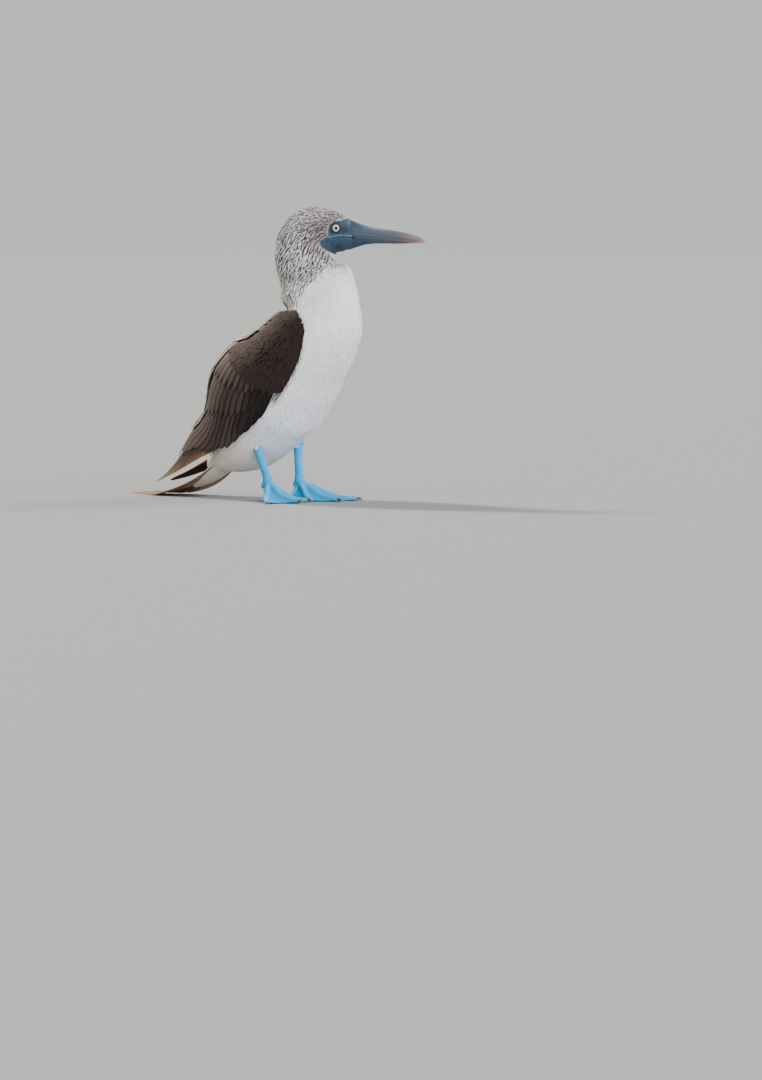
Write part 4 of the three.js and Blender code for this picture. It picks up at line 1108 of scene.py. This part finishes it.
def buildTier(side, name):
    s = tiers[name]
    draw = np.random.default_rng(s["seed"])
    place = np.linspace(0, 1, s["count"])
    long = draw.uniform(0.97, 1.03, s["count"])
    share = np.linspace(0, 1, s["rows"])[None]
    at = mix(bend(s["roots"], place)[:, None], bend(s["tips"], place)[:, None], (share * long[:, None])[..., None])
    fall = (3.5 * (1 - smooth(place, -0.05, 0.2)) + 1.2 * smooth(place, 0.5, 0.95))[:, None]
    stack = (np.arange(s["count"]) * 0.02)[:, None]
    lift = s["lift"] - fall + stack + 0 * share
    centre, normal = onBed(at[..., 0], at[..., 1] + s["bow"] * np.sin(math.pi * share), side, lift)
    half = s["half"] * vaneOutline(share) * np.ones((s["count"], 1))
    tone = draw.uniform(0, 1, (s["count"], 1))
    front = (1 - smooth(place, 0.12, 0.42))[:, None]
    root = mix(mix(wingBrown, wingPale, 0.3 + 0.45 * tone), wingDark, 0.1 + 0.75 * front)
    tip = mix(mix(wingBrown, wingPale, 0.4 + 0.5 * tone), wingDark, 0.9 * front)
    back = smooth(place, 0.86, 1)[:, None]
    edge = mix(mix(wingDark, wingBrown, 0.45 * (1 - front)), tan, back * s["tan"])
    direction = 1 if side == "right" else -1
    growVanes(f"{name}_{side}", vaneShape(s["rows"], quillColumns), centre, normal, half,
              np.full((s["count"], s["rows"]), 0.42), "flight", (root, tip),
              np.stack([0.1 + 0.8 * place, np.full(s["count"], 0.5)], -1),
              camber=0.05, tilt=0.09 * direction, patch=quillPatch, edge=edge)


primarySettings = {"roots": ((6.2, 106), (6, 92)), "tips": ((0.15, 52), (2.9, 66)), "count": 8, "rows": 18,
                   "half": 7.2, "bow": 6, "low": 0.9, "high": 4.05}


def buildPrimaries(side):
    s = primarySettings
    count = s["count"]
    place = np.linspace(0, 1, count)[:, None, None]
    share = np.linspace(0, 1, s["rows"])[None, :, None]
    root, tip = (mix(np.array(ends[0]), np.array(ends[1]), place) for ends in (s["roots"], s["tips"]))
    at = mix(root, tip, share)
    lift = mix(s["low"], s["high"], place[..., 0]) + 0 * share[..., 0]
    bowed = at[..., 1] + s["bow"] * np.sin(math.pi * share[..., 0])
    centre, normal = onBed(at[..., 0], bowed, side, lift)
    half = s["half"] * vaneOutline(share[..., 0], 0.5) * np.ones((count, 1))
    root = mix(wingDark, wingBrown, np.linspace(0.3, 0.8, count)[:, None])
    edge = mix(wingBrown, tan, np.linspace(0.75, 0.2, count)[:, None])
    growVanes(f"primaries_{side}", vaneShape(s["rows"], quillColumns), centre, normal, half,
              np.full((count, s["rows"]), 0.5), "flight", (root, root * 0.85),
              np.stack([0.1 + 0.8 * place[:, 0, 0], np.full(count, 0.5)], -1),
              camber=0.05, patch=quillPatch, edge=edge)


lesserSettings = {"low": 9.4, "high": 13.2, "gap": 3.3, "length": 16, "half": 3.5, "rows": 4, "seed": 31,
                  "wrap": 5}


def buildLesser(side):
    s = lesserSettings
    reach = wingReach[side]
    edgeAt = lambda i: wingEdge(np.clip(i / bed.last, 0, 1))[..., 1]
    topAt = lambda i: np.interp(i, (armPad["from"], armPad["to"]), armPad["top"])

    def lie(i, a, share):  # over the pad, and down round its edges
        near = a / reach
        u = np.clip((i - armPad["from"]) / 3.45, 0, 1)
        v = np.clip((near - topAt(i)) / (edgeAt(i) - topAt(i)), 0, 1)
        coat = np.interp(i, (9, 10, 11, 12, 13), (0.9, 1.9, 3.3, 3.7, 3.0))
        height = mix(armPad["low"] + padThick(armPad, u, v), coat, smooth(near - edgeAt(i), -1, s["wrap"] + 3))
        return height * smooth(near - topAt(i), -12, 1) + mix(-1.1, 0.2, share**0.7)

    inPad = lambda i, a: (a / reach > topAt(i) - 5) & (a / reach < edgeAt(i) + s["wrap"] * 0.7)
    ends = sorted((8 * reach, 136 * reach))
    close = lambda i: mix(1, 0.72, smooth(i, 11, 12.7))
    gap = lambda i, a: s["gap"] * close(i) * mix(1, 0.6, smooth(a / reach - edgeAt(i), -7, 1))
    index, angle = spread(bed, gap, inPad, s["low"], s["high"], s["seed"], ends[0], ends[1])
    count = len(index)
    draw = np.random.default_rng(s["seed"] + 1)
    atEdge = smooth(angle / reach - edgeAt(index), -9, 2)
    size = close(index) * draw.uniform(0.9, 1.1, count) * mix(1, 0.62, atEdge)
    swing = draw.uniform(-5, 5, count) * (1 - atEdge) - 9 * np.sign(reach) * atEdge
    along = np.minimum(index, bed.last) / bed.last
    centre, normal = lieOn(bed, along, angle, s["length"] * size, s["rows"], lie, swing)
    half = s["half"] * size[:, None] * np.array([0.75, 1, 0.85, 0.25])[None]
    tone = draw.uniform(0, 1, (count, 1))
    low = smooth(angle / reach, 60, 115)[:, None]
    root = mix(mix(wingDark, wingBrown, 0.55 + 0.35 * tone), wingDark, low * 0.5)
    tip = mix(root, wingPale, (0.2 + 0.14 * tone) * (1 - 0.7 * low))
    inner = (1 - smooth(angle / reach - topAt(index), 2, 12))[:, None]
    tip = mix(tip, tan, inner * 0.75 * draw.uniform(0.3, 1, (count, 1)))
    places = np.stack([np.abs(angle) / 140, (index - 9) / 4.4], -1)
    growVanes(f"lesser_{side}", vaneShape(s["rows"], 2), centre, normal, half,
              np.full((count, s["rows"]), 0.15), "contour", (root, tip), places, camber=0.02)


scapularSettings = {"low": 4.7, "high": 12.9, "gap": 6.0, "length": 31, "half": 6.0, "rows": 7, "seed": 61,
                    "inward": 36, "outward": 11}
scallopColumns, scallopPatch = 4, 0.012  # a scalloped feather's faces across, and its width on the baked map


def mantleColours(draw, count, bright):  # brown feathers with broad cream edges
    tone = draw.uniform(0, 1, (count, 1))
    root = mix(hexColour("#7a6a5d"), wingBrown, smooth(tone, 0, 0.6))
    tip = mix(hexColour("#4a3a32"), wingDark, tone * 0.7)
    edge = mix(hexColour("#c9b091"), hexColour("#f4ead9"), np.clip(bright[:, None] + 0.5 * tone - 0.2, 0, 1))
    return root, tip, edge


def buildMantle():
    s = mantleSettings
    gap = lambda i, a: s["gap"] * mix(1, 0.6, smooth(i, 8.5, 11))
    index, angle = spread(flesh, gap, mantleHere, s["low"], s["high"], s["seed"], -52, 52, 40000)
    count = len(index)
    draw = np.random.default_rng(s["seed"])
    size = mix(1, 0.58, smooth(index, 8.5, 11)) * draw.uniform(0.9, 1.1, count)
    share = np.linspace(0, 1, s["rows"])[None]
    lift = mix(-2.8, 1.6, share**0.7) + draw.uniform(-0.3, 0.3, (count, 1))
    swing = draw.uniform(-7, 7, count)
    centre, normal = lieOn(flesh, index / flesh.last, angle, s["length"] * size, s["rows"], lift, swing)
    half = s["half"] * size[:, None] * vaneOutline(share, 0.55)
    root, tip, edge = mantleColours(draw, count, smooth(index, 6, 10.5))
    growVanes("plumage_mantle", vaneShape(s["rows"], scallopColumns), centre, normal, half,
              np.full((count, s["rows"]), 0.35), "mantle", (root, tip),
              coatPlaces(index, angle), camber=0.1, patch=scallopPatch, edge=edge)


def buildScapulars(side):
    s = scapularSettings
    reach = wingReach[side]
    rimAt = lambda i: np.interp(i, (2.3, 9.2, 9.5, 12.75), (38, 30, 17, 40))
    tall = lambda i: np.interp(i, (2, 3.5, 5, 7, 9, 11, 12.3, 13), (3, 5.6, 8.6, 11.4, 12.1, 11.3, 10.3, 6.4))
    gap = lambda i, a: s["gap"] * mix(1, 0.6, smooth(i, 10, 12.5))
    lie = lambda i, a, share: (tall(i) * smooth(a / reach - rimAt(i), -26, 2)
                               + mix(-1.5, 1.1, share**0.7) * smooth(tall(i), 2, 7))
    here = lambda i, a: (a / reach > rimAt(i) - s["inward"]) & (a / reach < rimAt(i) + s["outward"])
    ends = sorted((-3 * reach, 52 * reach))
    index, angle = spread(bed, gap, here, s["low"], s["high"], s["seed"], ends[0], ends[1], 60000)
    count = len(index)
    draw = np.random.default_rng(s["seed"])
    size = mix(1, 0.55, smooth(index, 10, 12.7)) * draw.uniform(0.9, 1.1, count)
    swing = draw.uniform(-6, 6, count)
    centre, normal = lieOn(bed, index / bed.last, angle, s["length"] * size, s["rows"], lie, swing)
    share = np.linspace(0, 1, s["rows"])[None]
    half = s["half"] * size[:, None] * vaneOutline(share, 0.6)
    inner = 1 - smooth(angle / reach - rimAt(index), -8, 8)
    root, tip, edge = mantleColours(draw, count, 0.6 + 0.4 * inner)
    tip = mix(tip, cream, 0.7 * smooth(index, 6, 10)[:, None] * draw.uniform(0, 1, (count, 1)) ** 2)
    edge = mix(edge, wingBrown, ((1 - inner) * 0.55)[:, None])
    growVanes(f"scapulars_{side}", vaneShape(s["rows"], scallopColumns), centre, normal, half,
              np.full((count, s["rows"]), 0.4), "mantle", (root, tip),
              np.stack([0.5 + angle / 140, (index - 5) / 8.2], -1), camber=0.08, patch=scallopPatch, edge=edge)


for side in ("left", "right"):
    buildPads(side)
    buildPrimaries(side)
    for name in tiers:
        buildTier(side, name)
    buildLesser(side)
    buildScapulars(side)
buildMantle()
print("wings made")

# Tail

tailSettings = {"length": 222, "pairs": 7, "half": 8.8, "rows": 18, "seed": 41}
tailEnd = (-84 - tailSettings["length"] * 0.94, 0, 0.5)
tailCurve = smoothCurve([(-84, 0, 71), (-116, 0, 46), (-149, 0, 27), (-184, 0, 14), (-221, 0, 6.2),
                         (-256, 0, 3.2), tailEnd])


def onTail(reach, aside, lift):
    along = unit(tailCurve(np.minimum(reach + 0.01, 1)) - tailCurve(np.maximum(reach - 0.01, 0)))
    up = unit(np.cross(along, np.array([0.0, 1, 0])))
    up = np.where(up[..., 2:] < 0, -up, up)
    centre = tailCurve(reach) + up * np.asarray(lift)[..., None]
    centre[..., 1] += aside
    return centre, up


def buildTail():
    s = tailSettings
    pair = np.repeat(np.arange(s["pairs"]), 2)
    side = np.tile([1, -1], s["pairs"])
    count = len(pair)
    draw = np.random.default_rng(s["seed"])
    reach = mix(1, 0.66, (pair / (s["pairs"] - 1)) ** 1.15) * draw.uniform(0.99, 1.0, count)
    drop = -(pair * 2 + (side < 0)) * 0.4
    share = 1 - (1 - np.linspace(0, 1, s["rows"])[None]) ** 1.15
    fan = mix((1.5 + pair * 1.8)[:, None], (3.4 + pair * 4.5)[:, None], smooth(share, 0, 1))
    aside = side[:, None] * (fan + 0.4)
    centre, normal = onTail(share * reach[:, None], aside, drop[:, None] * mix(0.8, 1, share))
    centre[..., 2] = np.maximum(centre[..., 2], 0.5)
    half = s["half"] * vaneOutline(share, 0.62) * np.ones((count, 1))
    tone = draw.uniform(0, 1, (count, 1))
    root = mix(hexColour("#866d59"), hexColour("#a28263"), tone)
    tip = mix(hexColour("#8b6448"), hexColour("#ba8a60"), tone)
    edge = mix(hexColour("#cf9358"), hexColour("#f0e0c8"), draw.uniform(0.0, 0.9, (count, 1)))
    growVanes("tailFeathers", vaneShape(s["rows"], quillColumns), centre, normal, half,
              np.full((count, s["rows"]), 0.5), "flight", (root, tip),
              np.stack([0.5 + 0.03 * side * pair * 2, np.full(count, 0.5)], -1),
              camber=0.03, patch=quillPatch, edge=edge, replaces=("tail",))


rumpSettings = {"rows": 24, "columns": 20}


def buildRump():  # the fleshy root of the tail
    shape = vaneShape(rumpSettings["rows"], rumpSettings["columns"])
    u, v = shape["row"] / (rumpSettings["rows"] - 1), shape["x"] / 2 + 0.5
    thick = mix(8, 4.2, u) * np.sin(math.pi * mix(0.1, 0.9, v)) ** 0.4
    middle = -2.6 - (v * 2 - 1) ** 2
    points = onTail(mix(0.03, 0.27, u), mix(-17, 17, v) * mix(1, 0.8, u), middle + shape["z"] * thick)[0]
    piece = newPiece("rumpFlesh", points, shape["faces"].tolist(), "contour")
    paint(piece, "plumage", np.repeat(mix(white, cream, 0.5)[None, :3], len(points), 0))


covertSettings = {  # roots and reach along the tail, how far aside, lift at the root and the tip, half width
    "undertail": {"count": 620, "roots": (0.05, 0.27), "reach": 0.17, "aside": 21, "lift": (-7.6, -6.2),
                  "half": 2.7, "rows": 6, "seed": 71},
    "uppertail": {"count": 200, "roots": (0.05, 0.24), "reach": 0.15, "aside": 17, "lift": (1.6, 1.5),
                  "half": 3.6, "rows": 6, "seed": 72},
}


def buildCoverts(name):
    s = covertSettings[name]
    draw = np.random.default_rng(s["seed"])
    start = draw.uniform(*s["roots"], s["count"])
    place = draw.uniform(-1, 1, s["count"])
    rows = s["rows"]
    share = np.linspace(0, 1, rows)[None]
    long = s["reach"] * draw.uniform(0.85, 1.15, (s["count"], 1))
    reach = start[:, None] + long * share * (1 - 0.25 * place[:, None] ** 2)
    narrow = 1 - 0.45 * smooth(reach, 0.2, 0.46)
    roundOff = np.abs(place[:, None]) ** 3
    low, high = s["lift"]
    under = name == "undertail"
    base = mix(low, high, smooth(reach, 0.1, 0.45))
    rise = (-1 if under else 1) * mix(-1.6, 0.5, share**0.6)
    lift = mix(base, -2.6, roundOff * 0.8) + rise + draw.uniform(-0.3, 0.3, (s["count"], 1))
    centre, normal = onTail(reach, place[:, None] * s["aside"] * narrow, lift)
    lean = np.stack([0 * place, np.sin(place * 1.2), 0 * place], -1)[:, None]
    normal = unit((-normal if under else normal) * np.cos(place * 1.2)[:, None, None] + lean)
    half = s["half"] * vaneOutline(share, 0.45) * draw.uniform(0.85, 1.15, (s["count"], 1))
    places = np.stack([0.5 + place * 0.45, start * 3], -1)
    if under:
        # warmer and tan towards the tail: painted warm backlight and bounce light; the roots carry painted shade
        ground = mix(white, mix(cream, tan, 0.3), 0.6 + 0.4 * smooth(start, 0.1, 0.27)[:, None])
        growVanes(name, vaneShape(rows, 2), centre, normal, half, np.full(half.shape, 0.3), "contour",
                  (mix(ground, paintedShadeWhite, 0.1), ground), places, camber=0.08)
    else:
        root, tip, edge = mantleColours(draw, s["count"], np.full(s["count"], 0.35))
        growVanes(name, vaneShape(rows, scallopColumns), centre, normal, half, np.full(half.shape, 0.35),
                  "mantle", (root, tip), places, camber=0.08, patch=scallopPatch, edge=edge)


tuftSettings = {"count": 1000, "low": 0.35, "high": 1.6, "from": 62, "to": 180, "length": 24, "half": 1.7,
                "rows": 5, "seed": 81}


def buildVentTufts():  # loose white plumes beside the root of the tail, behind each wing
    s = tuftSettings
    draw = np.random.default_rng(s["seed"])
    index = draw.uniform(s["low"], s["high"], s["count"])
    angle = draw.uniform(s["from"], s["to"], s["count"]) * draw.choice([-1, 1], s["count"])
    share = np.linspace(0, 1, s["rows"])[None]
    lift = mix(-2.5, 1, share**0.7) + draw.uniform(0, 2.6, (s["count"], 1)) * share
    length = s["length"] * draw.uniform(0.6, 1.1, s["count"])
    swing = draw.uniform(-16, 16, s["count"])
    centre, normal = lieOn(flesh, index / flesh.last, angle, length, s["rows"], lift, swing)
    half = s["half"] * vaneOutline(share, 0.35) * np.ones((s["count"], 1))
    # a warm tint, painted warm bounce light; the roots carry painted shade
    ground = np.repeat(mix(white, mix(cream, tan, 0.15), 0.6)[None], s["count"], 0)
    growVanes("plumage_vent", vaneShape(s["rows"], 2), centre, normal, half, np.full(half.shape, 0.3),
              "contour", (mix(ground, paintedShadeWhite, 0.2), ground), coatPlaces(index, angle),
              camber=0.08)


buildRump()
buildCoverts("undertail")
buildCoverts("uppertail")
buildVentTufts()
buildTail()
print("tail made")

# Stage: a plain pale floor, soft studio light and the camera

stageSettings = {"aim": (130, -53), "distance": 8.0, "azimuth": 45, "elevation": 3.2, "lens": 200,
                 "sensor": 36, "floorHalf": 30, "lampDistance": 3, "paper": "#7f8284", "air": "#fbfdff",
                 "glow": 0.7}
azimuth, elevation = math.radians(stageSettings["azimuth"]), math.radians(stageSettings["elevation"])
right = Vector((math.cos(azimuth), math.sin(azimuth), 0))
ahead = Vector((-math.sin(azimuth) * math.cos(elevation), math.cos(azimuth) * math.cos(elevation),
                -math.sin(elevation)))
screenUp = right.cross(ahead)
origin = Vector(shift) / 1000
target = origin + right * stageSettings["aim"][0] / 1000 + screenUp * stageSettings["aim"][1] / 1000

camera = bpy.data.objects.new("camera", bpy.data.cameras.new("camera"))
camera.data.lens = stageSettings["lens"]
camera.data.sensor_width = stageSettings["sensor"]
camera.location = target - ahead * stageSettings["distance"]
camera.rotation_euler = ahead.to_track_quat("-Z", "Y").to_euler()
bpy.context.scene.collection.objects.link(camera)
bpy.context.scene.camera = camera

bm = bmesh.new()
bmesh.ops.create_grid(bm, x_segments=1, y_segments=1, size=stageSettings["floorHalf"])
floorMesh = bpy.data.meshes.new("floor")
bm.to_mesh(floorMesh)
bm.free()
floor = bpy.data.objects.new("floor", floorMesh)
floorFinish = newMaterial("studioPaper", Roughness=0.9, Base_Color=hexColour(stageSettings["paper"]))[0]
floorMesh.materials.append(floorFinish)
bpy.context.scene.collection.objects.link(floor)

lightSettings = {  # where from, in degrees to the camera's right and up; spread in degrees, strength, colour
    "key": ((-132, 40), 10, 6.0, "#fff2e2"),
    "front": ((30, 22), 50, 4.0, "#f2f6ff"),
    "back": ((112, 34), 25, 2.2, "#ffffff"),
}
for name, ((turn, height), spreadAngle, strength, colour) in lightSettings.items():
    light = bpy.data.lights.new(name, "SUN")
    light.energy, light.angle, light.color = strength, math.radians(spreadAngle), hexColour(colour)[:3]
    lamp = bpy.data.objects.new(name, light)
    turn, height = azimuth - math.pi / 2 + math.radians(turn), math.radians(height)
    source = Vector((math.cos(turn) * math.cos(height), math.sin(turn) * math.cos(height), math.sin(height)))
    lamp.rotation_euler = (-source).to_track_quat("-Z", "Y").to_euler()
    lamp.location = origin + source * stageSettings["lampDistance"]
    bpy.context.scene.collection.objects.link(lamp)

world = bpy.data.worlds.new("studio")
bpy.context.scene.world = world
world.use_nodes = True
world.node_tree.nodes["Background"].inputs["Color"].default_value = hexColour(stageSettings["air"])
world.node_tree.nodes["Background"].inputs["Strength"].default_value = stageSettings["glow"]
print("stage set")
